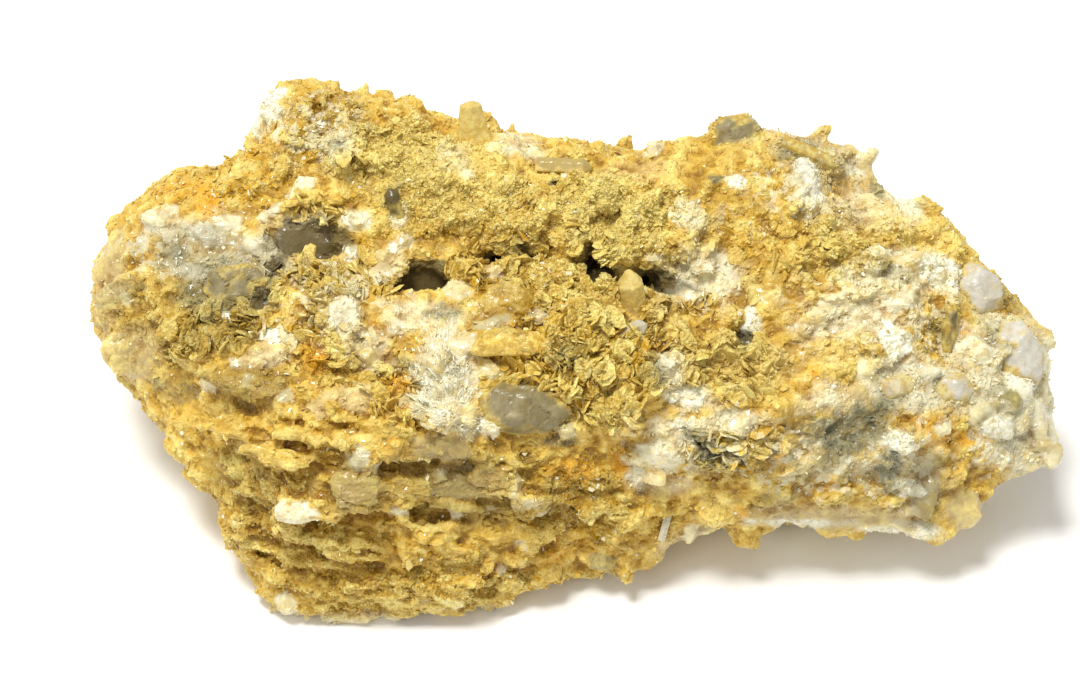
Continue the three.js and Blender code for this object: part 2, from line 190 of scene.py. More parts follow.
def solidMesh(name, nodes):
    soup = bmesh.new()
    for node in nodes:
        soup.from_mesh(solids[node])
    bmesh.ops.remove_doubles(soup, verts=soup.verts, dist=1e-6)
    mesh = bpy.data.meshes.new(name)
    soup.to_mesh(mesh)
    soup.free()
    return mesh


def changed(mesh, kind, settings, group=()):
    # the mesh after one modifier, which may act on a group of its points
    holder = added("holder", mesh)
    change = holder.modifiers.new("change", kind)
    for name, value in settings.items():
        setattr(change, name, value)
    if len(group):
        holder.vertex_groups.new(name="part").add([int(n) for n in group], 1, "REPLACE")
        change.vertex_group = "part"
    result = bpy.data.meshes.new_from_object(holder.evaluated_get(bpy.context.evaluated_depsgraph_get()))
    result.name = mesh.name
    bpy.data.objects.remove(holder)
    return result


def remeshed(mesh, voxel):
    return changed(mesh, "REMESH", {"mode": "VOXEL", "voxel_size": voxel})


def pointsOf(mesh):
    flat = np.zeros(len(mesh.vertices) * 3)
    mesh.vertices.foreach_get("co", flat)
    return flat.reshape(-1, 3)


def movePoints(mesh, points):
    mesh.vertices.foreach_set("co", points.astype(np.float32).ravel())
    mesh.update()


def keptInBox(points, margin):
    return np.clip(points, boxLow + margin, boxHigh - margin)


def normalsOf(mesh):
    flat = np.zeros(len(mesh.vertices) * 3, np.float32)
    mesh.vertex_normals.foreach_get("vector", flat)
    return flat.reshape(-1, 3).astype(float)


def trianglesOf(mesh):
    mesh.calc_loop_triangles()
    flat = np.zeros(len(mesh.loop_triangles) * 3, np.int32)
    mesh.loop_triangles.foreach_get("vertices", flat)
    return flat.reshape(-1, 3)


def treeOf(mesh):
    return BVHTree.FromPolygons(pointsOf(mesh).tolist(), trianglesOf(mesh).tolist())


def placed(tree, x, y):
    # the point of the stone that shows at a pixel, or the nearest point of the stone to it
    ray = pixelRay(x, y)
    hit = tree.ray_cast(eye, ray)[0]
    return tree.find_nearest(eye + ray * view["distance"])[0] if hit is None else hit


def distancesTo(tree, points):
    return np.array([tree.find_nearest(point)[3] for point in points])


def faceCoordinates(where):
    return (where - np.array(faceMiddle)) @ faceAxes.T / mm  # across, up and out, in mm


def fromFace(where):
    return where @ faceAxes * mm + np.array(faceMiddle)


def alongAndAside(flat, degrees):
    # places given across and up, as places along and aside of a way turned by so many degrees
    angle = math.radians(degrees)
    along = flat[:, 0] * math.cos(angle) + flat[:, 1] * math.sin(angle)
    aside = flat[:, 1] * math.cos(angle) - flat[:, 0] * math.sin(angle)
    return along, aside


def faceTurned(degrees):
    # the way across the face, turned by so many degrees
    angle = math.radians(degrees)
    return np.array(across * math.cos(angle) + up * math.sin(angle))


patchLook = {
    "fray": [(3.2 * mm, 1, 21), (1.3 * mm, 0.7, 22)],  # size, height and seed
    "depth": 9,  # mm above and below the surface
    "fade": (1.3, 0.55),  # where it ends and where it is full, as shares of its half size
}


def spot(x, y, wide, high, turn=0, strength=1.0):
    # a patch of the stone: the pixel of its middle, its half sizes in mm and its turn in degrees
    return {"pixel": (x, y), "half": (wide, high), "turn": turn, "strength": strength}


def spots(**rows):
    return {name: spot(*row) for name, row in rows.items()}


def patchValue(tree, patches, where, ragged=0.3):
    # how strongly a set of patches covers each point, from 0 to 1
    value = np.zeros(len(where))
    frayed = ragged * layered(where, patchLook["fray"])
    for patch in patches.values():
        away = (where - np.array(placed(tree, *patch["pixel"]))) @ faceAxes.T / mm
        along, aside = alongAndAside(away, patch["turn"])
        wide, high = patch["half"]
        far = np.sqrt((along / wide) ** 2 + (aside / high) ** 2 + (away[:, 2] / patchLook["depth"]) ** 2)
        value = np.maximum(value, patch["strength"] * smooth(*patchLook["fade"], far + frayed))
    return value


# where each finish of the stone shows

whiteTalc = spots(
    crestTuft=(268, 108, 2.2, 2.8),
    crestTuftFoot=(262, 134, 1.4, 1.6, 0, 0.6),
    paleBandLeft=(160, 225, 5.5, 2.6, -10, 0.5),
    paleBand=(205, 250, 8, 3.6, -12, 0.45),
    paleBandEnd=(258, 252, 4.2, 3, 20, 0.65),
    aboveHollow=(300, 226, 5, 1.5, -5, 0.6),
    besideGrey=(186, 270, 4, 1.2, -15, 0.7),
    smudge=(338, 140, 2.4, 2.2, 0, 0.55),
    chunkUpper=(354, 219, 2.2, 1.5, 0, 0.8),
    flakeUpper=(396, 247, 1.2, 0.9),
    flakeWhite=(353, 255, 1.3, 1.2),
    rimOfHollow=(388, 268, 2.6, 1.6, 30, 0.6),
    chunk=(343, 314, 2.4, 2.3, 0, 0.9),
    chunkLeft=(274, 336, 2.1, 1.5),
    yellowWhite=(366, 345, 3.4, 3, -30, 0.5),
    aboveFan=(420, 318, 5.5, 2.2, 0, 0.55),
    fan=(440, 376, 4.2, 6.2, 8),
    fanFoot=(470, 424, 3, 2.2, -20, 0.75),
    prismFoot=(400, 214, 1.2, 1.8, 0, 0.6),
    creamTop=(455, 160, 3, 2.4, 0, 0.45),
    creamBehind=(521, 148, 3.4, 2.2, -15, 0.6),
    shelfGrey=(687, 218, 2.2, 2.4, 30, 0.6),
    besideShelf=(708, 275, 5.4, 3.2, -8, 0.62),
    starWhite=(750, 322, 1.7, 2.2),
    glassyBit=(668, 368, 2.2, 2.6, -35, 0.7),
    fibres=(690, 400, 4, 1.7, -12, 0.85),
    greyWhite=(678, 427, 4.4, 1.8, -10, 0.7),
    greyWhiteRight=(728, 420, 4.5, 1.4, 8, 0.6),
    silky=(662, 455, 4.6, 2.2, 15, 0.75),
    patchLow=(637, 477, 1.5, 2, 0, 0.8),
    bumpWhite=(810, 182, 2.4, 4, 10, 0.75),
    bumpGlint=(736, 181, 1, 0.9),
    paleRim=(862, 165, 2.6, 3.4, -40, 0.7),
    paleCrest=(905, 206, 3, 1.8, -40, 0.7),
    streakUpper=(850, 300, 6, 1.3, 15, 0.6),
    streakCream=(905, 254, 4.4, 0.9, -5, 0.55),
    brightRight=(944, 275, 4, 2.4, -30, 0.9),
    brightLow=(894, 338, 1.8, 3.2, 30, 0.95),
    nearQuartz=(990, 318, 3, 1.6, -40, 0.6),
    end=(1025, 350, 3.6, 5, 15, 0.65),
    endLow=(1010, 415, 5.4, 4.6, 0, 0.6),
    endTip=(1052, 440, 2, 3.6, 20, 0.75),
    betweenQuartz=(968, 352, 4, 2.4, -10, 0.6),
    creamMiddle=(835, 395, 4.6, 2, 0, 0.6),
    lowWhite=(900, 443, 2, 1.8),
    lowWhiteFoot=(909, 487, 2.4, 1.1, -10),
    rimWhite=(925, 531, 3, 1.1, -8, 0.8),
    rimMiddle=(800, 531, 9, 0.7, -1, 0.9),
    rimRight=(900, 537, 6, 0.7, -8, 0.9),
    endFoot=(1018, 455, 6, 3.6, -25, 0.65),
    bumpVeil=(812, 150, 9, 4.6, -25, 0.35),
    bumpSide=(865, 200, 5, 5, -40, 0.4),
    bottomTip=(287, 612, 1.6, 1.6, 0, 0.6),
    gritWhite=(530, 505, 2, 0.9, 0, 0.6),
    lensRidge=(262, 358, 3.8, 1.1, 10, 0.6),
    leftVeil=(180, 238, 9, 3.4, -10, 0.2),
    leftVeilLow=(245, 262, 7, 3, -5, 0.2),
    rightVeil=(890, 290, 10, 3.6, 15, 0.5),
    rightVeilLow=(915, 385, 9, 3.4, 0, 0.7),
    rightVeilFoot=(850, 318, 8, 2, 12, 0.5),
    endVeil=(1000, 380, 6, 9, 10, 0.6),
    endEdge=(1052, 400, 4, 9, 15, 0.7),
    lowVeil=(860, 455, 10, 4, 0, 0.35),
)
deepOchre = spots(
    upperLeft=(228, 176, 10, 4, 14),
    crest=(320, 104, 4.6, 3.8),
    upperMiddle=(290, 150, 5, 4, 60),
    topEdge=(420, 104, 5, 1.2, -14, 0.7),
    yellowPatch=(362, 252, 2.6, 1.6, 0, 0.9),
    belowHollow=(500, 305, 5, 4.4, 30),
    smoothCrystal=(500, 342, 6.2, 1.9, -2),
    leftFlakes=(212, 333, 5, 2.2, 15, 0.8),
    flakesMiddle=(290, 330, 3, 3, 0, 0.5),
    heap=(590, 345, 9, 6, -20, 0.7),
    rightOfShelf=(765, 238, 4, 2.6, 0, 0.7),
    shelfRight=(668, 220, 4, 1.6, -15, 0.6),
    bump=(790, 175, 4, 2, -10, 0.5),
    rightUpper=(930, 236, 7, 2.4, -28, 0.9),
    aroundBlade=(922, 340, 2.6, 3.6, -20, 0.8),
    middleLow=(600, 478, 6, 4.4, 15),
    middleFoot=(590, 530, 5.6, 3, 10, 0.9),
    ledgeFoot=(420, 590, 12, 2.4, 8, 0.5),
    rhomb=(718, 510, 3, 2.4, 15),
    lowFlakes=(736, 458, 3, 2.4, 30, 0.8),
    lowRight=(956, 426, 4.4, 2.2, -30, 0.7),
    rightGrit=(858, 362, 3, 2.6, -30, 0.8),
    peachClumps=(742, 372, 6, 5, 0, 0.5),
)
rustOrange = spots(
    spot=(206, 203, 1.5, 2.6, 20),
    spotTrail=(176, 190, 3, 1.6, 0, 0.35),
    besideFan=(402, 390, 1.6, 2.8, 25, 0.8),
    leftOfChunk=(312, 357, 1.8, 2, 0, 0.7),
    middle=(575, 470, 3.4, 1.8, 0, 0.75),
    middleRidge=(624, 470, 1.6, 3.2, 25, 0.85),
    middleEdge=(556, 556, 2.6, 1.2, 20, 0.5),
    rhombCorner=(738, 512, 1.2, 1.2, 0, 0.8),
    rightUpper=(925, 238, 5.5, 1.2, -30, 0.75),
    rightEdge=(905, 226, 3, 0.8, -10, 0.7),
    besideBlade=(956, 336, 1.6, 2, -30, 0.8),
    lowRight=(938, 436, 4, 2, -45, 0.7),
    lowRightArm=(972, 440, 2.8, 1, 0, 0.8),
    grainLeft=(816, 371, 0.8, 0.7, 0, 0.9),
    grainLow=(829, 484, 1.2, 1, 30, 0.8),
    grainMiddle=(776, 460, 1.4, 1.4, 0, 0.6),
    endGlow=(1047, 443, 1, 1, 0, 0.6),
    behindBump=(786, 131, 2.6, 1, -25, 0.6),
    upperFlakes=(375, 325, 1.4, 1, 40, 0.6),
    slabFlakes=(540, 395, 3, 0.8, -15, 0.5),
)
peachStone = spots(
    leftRim=(108, 268, 3.4, 5),
    leftLow=(134, 352, 4, 4, 25, 0.9),
    leftFoot=(104, 315, 2.4, 3, 0, 0.8),
    ledge=(250, 388, 5.6, 2.2, -8, 0.35),
    pinkCrystals=(445, 448, 4, 2.2, -6, 0.6),
    greyBrown=(465, 478, 5, 3, -10, 0.4),
    behindShelf=(640, 172, 5, 1.6, 0, 0.8),
    clumps=(752, 372, 6, 3.6, 0, 0.5),
    bottomRim=(850, 518, 12, 2, -2, 0.7),
    smoky=(928, 486, 2, 5.6, -10, 0.8),
    rimFacet=(965, 512, 2.8, 2.8, 0, 0.8),
    smokyMiddle=(672, 486, 3.6, 1.4, 0, 0.7),
    paleFoot=(690, 540, 5.6, 1.6, 14, 0.7),
    grainRight=(835, 350, 3, 2.4, 0, 0.4),
)
greyGreen = spots(
    leftStreak=(177, 254, 0.9, 1.1, 0, 0.8),
    leftSheen=(130, 287, 2.6, 1.4, 25, 0.6),
    underBand=(262, 300, 2.6, 2.4, -30, 0.75),
    leftGrey=(180, 392, 4, 1.6, -10, 0.5),
    smudge=(338, 145, 1, 1, 0, 0.8),
    prism=(394, 196, 1, 2.4, -25, 0.8),
    aboveFan=(445, 312, 2.4, 1.2, 0, 0.7),
    nearFan=(404, 362, 1.4, 1.6, 30, 0.6),
    behindSlab=(566, 356, 2.4, 2.2, 0, 0.5),
    besideLeftQuartz=(210, 298, 5, 2.2, -5, 0.7),
    overLeftQuartz=(225, 270, 4.4, 1.4, -5, 0.4),
    leftSmoke=(178, 256, 1.4, 1.6, 0, 0.6),
    besideEnd=(1000, 335, 3, 2, -30, 0.5),
    smokyBar=(928, 486, 1.8, 4.6, -10, 0.35),
    lump=(744, 128, 3, 1.8, 0, 0.7),
    bumpStreak=(795, 150, 4, 1.2, 20, 0.6),
    slot=(716, 179, 1.2, 0.8, -20),
    starPit=(740, 340, 1.6, 1.3),
    heapPit=(655, 372, 1.4, 2, 0, 0.8),
    lowPit=(694, 436, 1.6, 1.2, 0, 0.9),
    lowPitRight=(706, 452, 1.9, 1.2),
    darkBand=(858, 428, 5.6, 2.4, 35),
    darkFoot=(888, 468, 1.5, 2.8),
    darkLeft=(812, 428, 3, 1.6, 0, 0.7),
    shard=(876, 190, 0.8, 1.6, 20, 0.8),
    streakRight=(898, 272, 3, 1.1, -30, 0.6),
    endGrey=(1014, 393, 2.6, 1.8, -15, 0.7),
    endGreyUpper=(1012, 300, 2.2, 2, -40, 0.5),
    bladePit=(945, 325, 2, 2.6, 0, 0.5),
    belowSlab=(560, 441, 3, 0.9, 0, 0.9),
    tipGrey=(602, 562, 1.8, 1.2, 0, 0.7),
    rimGrey=(772, 500, 3.6, 1.6, 8, 0.5),
    besideNeedle=(752, 288, 2.2, 2.4, 0, 0.4),
)
smoothGlass = spots(
    leftQuartz=(224, 286, 4, 2.6, -8),
    underBand=(266, 300, 2.4, 2.2, -30, 0.9),
    leftRim=(108, 262, 3.2, 5, 0, 0.6),
    leftLow=(136, 354, 4, 3.6, 25, 0.75),
    yellowFace=(500, 306, 4, 3.4, 30, 0.85),
    smoothCrystal=(500, 342, 5.8, 1.5, -2, 0.8),
    slab=(525, 408, 6.2, 3, -4),
    lump=(744, 126, 3, 2, 0, 0.9),
    blade=(812, 130, 4.2, 1, -28, 0.8),
    oliveCrystals=(770, 292, 2.6, 2.6, 0, 0.7),
    paleQuartz=(893, 387, 3, 2.6, 0, 0.7),
    paleQuartzRight=(943, 386, 2.8, 3, 0, 0.7),
    rightQuartz=(982, 290, 3.4, 4, 20, 0.8),
    endQuartz=(1034, 352, 3.4, 5, 15, 0.8),
    endTip=(1052, 432, 2.4, 4.6, 15, 0.8),
    rimFacet=(965, 512, 3, 2.8, 0, 0.9),
    smoky=(928, 486, 2, 5.4, -10, 0.7),
    bottomRim=(845, 520, 12, 1.7, -2, 0.8),
    smokyMiddle=(672, 486, 3.4, 1.3, 0, 0.8),
    paleFoot=(690, 542, 5.4, 1.4, 14, 0.8),
    rhomb=(355, 482, 3, 3.2, 0, 0.8),
    ledgeGrey=(462, 478, 4.4, 2, -10, 0.5),
    pinkCrystals=(445, 448, 3.6, 1.8, -6, 0.6),
    rhombYellow=(718, 510, 2.8, 2.2, 15, 0.7),
)
druseCrust = spots(
    upperMiddle=(400, 150, 13, 6, -14, 0.8),
    middle=(470, 205, 14, 5, -8),
    shelf=(615, 212, 10, 5.5, -10),
    shelfEdge=(640, 245, 8, 3, -25),
    besideHollow=(560, 280, 8, 4.4, 0, 0.9),
    rightGrit=(850, 240, 8, 6, -20, 0.5),
)
leafyHeap = spots(
    heap=(590, 350, 11, 7, -25),
    heapFoot=(560, 400, 9, 3, -10, 0.8),
    heapRight=(650, 350, 8, 7, 0, 0.9),
    hollowSill=(330, 284, 4.6, 2.4, -15, 0.8),
    leftFlakes=(212, 330, 7, 3.2, 15, 0.75),
    middleLeft=(330, 340, 7, 6, 0, 0.45),
    besideFan=(400, 390, 4, 5, 20, 0.6),
    belowFan=(455, 424, 7, 1.6, -8, 0.5),
    peachClumps=(740, 365, 6, 6, 0, 0.4),
    lowFlakes=(735, 455, 6, 3, 30, 0.5),
    yellowUpper=(320, 212, 6, 2, -10, 0.45),
    upper=(380, 150, 12, 5, -10, 0.12),
    upperRight=(790, 250, 10, 5, 10, 0.12),
)
mingledStone = spots(
    right=(900, 300, 14, 9, 10, 0.8),
    end=(1000, 380, 8, 10, 10, 0.9),
    lowRight=(860, 460, 15, 7),
    endFoot=(1010, 455, 8, 5, -20),
    middleRight=(700, 440, 9, 6, 0, 0.9),
    upperRight=(800, 190, 10, 6, 10, 0.7),
    leftBand=(200, 250, 13, 5, -8, 0.9),
    crest=(320, 125, 6, 6, 0, 0.8),
    middle=(340, 300, 9, 5, 0, 0.8),
    shelf=(690, 290, 6, 6, 0, 0.7),
)
# darker patches: partly a duller tone of the stone, partly painted shade on up-facing ledges and crystals
dimToneAndPaintedShade = spots(
    peachLedge=(250, 388, 7, 3, -8, 0.9),
    rhomb=(355, 484, 4, 4),
    leftSide=(140, 340, 6, 7, 0, 0.4),
    flakes=(215, 330, 6, 3, 15, 0.7),
    middleLow=(580, 490, 7, 5, 10, 0.4),
    yellowFace=(503, 306, 4.6, 3.6, 40, 0.8),
    ledgeRight=(470, 500, 7, 4, -10, 0.9),
    upperLeft=(228, 178, 11, 4.5, 14, 0.15),
    crest=(330, 108, 7, 4.5, -10, 0.2),
    leftBand=(205, 255, 11, 4, -10, 0.95),
    leftRim=(110, 270, 3, 6, 0, 0.3),
    ledgeMiddle=(455, 470, 9, 4.5, -8),
    ledgeUpper=(240, 470, 8, 6, 0, 0.35),
    endTip=(1040, 430, 5, 5, 0, 0.5),
    rimLow=(840, 515, 9, 2, 0, 0.4),
    leftQuartz=(222, 286, 5.6, 3.4, -8),
    darkBand=(856, 430, 6.6, 3, 35),
    smoky=(928, 486, 3, 6, -10, 0.8),
    endLow=(1010, 415, 6, 5, 0, 0.5),
    bump=(810, 160, 7, 4, -20, 0.5),
    bumpGrey=(735, 130, 4, 2.4, 0, 0.5),
    betweenPrisms=(640, 283, 6, 2.6, -10, 0.6),
    paleQuartz=(915, 388, 6, 3, 0, 0.4),
    lowRight=(850, 470, 14, 5, 0, 0.3),
)
lightStone = spots(
    upperMiddle=(440, 165, 14, 7, -10, 0.85),
    shelf=(612, 215, 11, 6, -15, 0.8),
    rhombYellow=(718, 510, 3, 2.4, 15, 0.6),
    rightEdge=(915, 230, 8, 3, -28),
    grit=(850, 362, 4, 3.4, -30, 0.6),
    clumps=(745, 365, 6, 5, 0, 0.6),
    rightTan=(840, 250, 8, 5, 0, 0.4),
)
keptClear = spots(
    yellowCrystal=(500, 342, 7.4, 2.2, -2),
    yellowFace=(503, 306, 4.2, 3.4, 40),
    slab=(528, 404, 6.4, 3, -4),
    prism=(629, 278, 2.2, 3.4),
    prismShort=(633, 320, 1.8, 2),
)


def bite(x, y, half, turn, **more):
    # a hollow by the pixel of its middle, its half sizes in mm and its turn in degrees
    # wall: how far under the rim it is closed, rise: how far its middle is raised
    return {"pixel": (x, y), "half": half, "turn": turn, **more}


hollows = {
    "left": bite(314, 256, (4.8, 3.7, 3.2), -14, wall=2.4),
    "leftArm": bite(281, 270, (3, 1.5, 2.2), 35),
    "leftFoot": bite(262, 300, (1.7, 2.6, 2.2), -15, wall=1.6),
    "greyGreen": bite(431, 279, (5.4, 2.6, 4.4), 4, wall=2.4, rise=4),
    "slot": bite(492, 259, (2.8, 1.5, 3.2), 10),
    "slitLeft": bite(522, 260, (0.9, 2.1, 3), 0),
    "slitRight": bite(534, 257, (0.8, 1.8, 3), -8),
    "overPrism": bite(590, 245, (2.4, 1.2, 3), -20),
    "prismLeft": bite(600, 279, (2, 2.8, 4), 10),
    "prismRight": bite(662, 288, (4.2, 1.7, 4), -18),
    "crack": bite(556, 186, (1.2, 0.7, 2.2), 20),
    "starPit": bite(741, 341, (1.6, 1.2, 2.2), 0),
    "heapPit": bite(655, 372, (1, 1.5, 2.2), 0),
    "lowPit": bite(700, 446, (2, 1.1, 2), 0),
}
hollowLook = {
    "lean": 0.25,  # upwards, for each step inwards
    "sink": 0.3,
    "ragged": 0.5,
    "fray": [(2.4 * mm, 1, 71), (1.1 * mm, 0.5, 72)],
    "rim": (1.15, 1.7),  # the band that its rim is read from
    "rimLevel": 60,  # percent of that band lie lower than the rim
    "rise": 0.2,
    "wall": 0.9,  # the wall's share of the hollow's size, and its thickness in mm
    "wallAside": 0.15,
    "wallTilt": 0.3,
}
notches = {  # bitten out of the lower edge
    "left": bite(320, 620, (2.2, 1.8, 6), 10),
    "middle": bite(442, 622, (7.4, 1.9, 6), 2),
    "right": bite(560, 590, (3.4, 1.4, 4), 28),
    "rise": bite(640, 572, (2.2, 1.3, 4), 10),
}

# the stone: the solid, hollowed, broken into ledges and roughened

stoneLook = {
    "firstVoxel": 0.6 * mm,
    "voxel": 0.47 * mm,
    "crystalMargin": 0.3 * mm,  # left between the crystals and the box of the whole
    "triangles": 193000,
    "foot": 2 * mm,
    "clumps": [(6 * mm, 0.6, 11), (3.2 * mm, 0.6, 12)],  # size, height in mm, seed
    "facets": [(2.6, 0.6, 3), (1.1, 0.34, 4)],  # size and height in mm, seed
    "tilt": 1.7,
    "step": 0.8,
    "grit": [(1, 0.16, 5), (0.55, 0.14, 6)],
    "furthestOut": 1.1,
    "furthestIn": -3,
    "restingEdge": (0.05 * mm, 1.2 * mm),  # upright relief fades in between these heights
}
boxMargin = 0.02 * mm
ledgeFaces = {
    "front": {"turn": -11, "cells": (11, 3.4, 6), "height": 1.9, "groove": 0.55, "seed": 61,
              "where": spots(face=(380, 495, 27, 12, -10), rightFoot=(585, 500, 8, 7, -10, 0.8),
                             leftFoot=(270, 520, 12, 10, -35), foot=(420, 590, 22, 5, 5))},
    "right": {"turn": 17, "cells": (8, 2.2, 5), "height": 0.9, "groove": 0.4, "seed": 62,
              "where": spots(face=(860, 310, 15, 9), upper=(900, 240, 9, 4, -30, 0.8))},
    "left": {"turn": 20, "cells": (6, 2, 5), "height": 0.7, "groove": 0.4, "seed": 63,
             "where": spots(face=(150, 320, 9, 6, 0, 0.8))},
}
ledgeLook = {"swaySize": 9 * mm, "sway": 1.2, "sink": 0.65, "slope": 1.1}


def hollowed(mesh):
    tree = treeOf(mesh)
    soup = bmesh.new()
    inward = (up * hollowLook["lean"] - out).normalized()
    for hollow in [*hollows.values(), *notches.values()]:
        angle = math.radians(hollow["turn"])
        along = across * math.cos(angle) + up * math.sin(angle)
        aside = up * math.cos(angle) - across * math.sin(angle)
        wide, high, deep = hollow["half"]
        frameAxes = Matrix((aside * high, along * wide, inward * deep)).transposed().to_4x4()
        inside = deep * hollowLook["sink"] - hollow.get("rise", 0)
        middle = placed(tree, *hollow["pixel"]) + inward * inside * mm
        place = Matrix.Translation(middle) @ frameAxes
        made = bmesh.ops.create_icosphere(soup, subdivisions=3, radius=mm, matrix=place)["verts"]
        fray = layered(np.array([v.co for v in made]), hollowLook["fray"])
        for vert, ragged in zip(made, fray):
            vert.co += (vert.co - middle) * hollowLook["ragged"] * ragged
    cutterMesh = bpy.data.meshes.new("hollows")
    soup.to_mesh(cutterMesh)
    soup.free()
    cutter = added("hollows", cutterMesh)
    result = changed(mesh, "BOOLEAN", {"object": cutter, "operation": "DIFFERENCE", "use_self": True})
    bpy.data.objects.remove(cutter)
    return result


def ledgeRelief(tree, points):
    relief = np.zeros(len(points))
    onFace = faceCoordinates(points)
    for ledges in ledgeFaces.values():
        along, aside = alongAndAside(onFace, ledges["turn"])
        aside = aside + noise(points, ledgeLook["swaySize"], ledges["seed"]) * ledgeLook["sway"]
        blocks = np.stack([along, aside, onFace[:, 2]], 1) / ledges["cells"]
        offset, own = grains(blocks, ledges["seed"])
        shingle = own[:, 0] - ledgeLook["sink"] - ledgeLook["slope"] * offset[:, 1]
        relief += ledges["height"] * shingle * patchValue(tree, ledges["where"], points)
    return relief


def shapedBy(mesh, relief):
    points, facing = pointsOf(mesh), normalsOf(mesh)
    relief = np.clip(relief, stoneLook["furthestIn"], stoneLook["furthestOut"])
    move = facing * relief[:, None] * mm
    move[:, 2] *= smooth(*stoneLook["restingEdge"], points[:, 2])
    points = keptInBox(points + move, boxMargin)
    movePoints(mesh, points)
    return points


def surfaceOf(points, facing, triangles, tones):
    sides = points[triangles[:, 1:]] - points[triangles[:, :1]]
    area = np.linalg.norm(np.cross(sides[:, 0], sides[:, 1]), axis=1) / 2
    return {"points": points, "facing": facing, "triangles": triangles, "area": area, "tones": tones}


def seatsOn(surface, weight, count, random):
    # places on a surface, more of them where the weight is high
    share = surface["area"] * weight[surface["triangles"]].mean(1)
    chosen = random.choice(len(share), count, p=share / share.sum())
    blend = random.dirichlet((1, 1, 1), count)
    corner = surface["triangles"][chosen]
    seat = (surface["points"][corner] * blend[..., None]).sum(1)
    normal = unit((surface["facing"][corner] * blend[..., None]).sum(1))
    return seat, normal, {name: (values[corner] * blend).sum(1) for name, values in surface["tones"].items()}


# crystals that stand out of the stone


def crystal(x, y, wide, high, thick, turn=0, sink=0.5, **tones):
    # by the pixel of its middle, its half sizes in mm, its turn in degrees and how deep it sits
    return {"pixel": (x, y), "half": (wide, high, thick), "turn": turn, "sink": sink, "tones": tones}


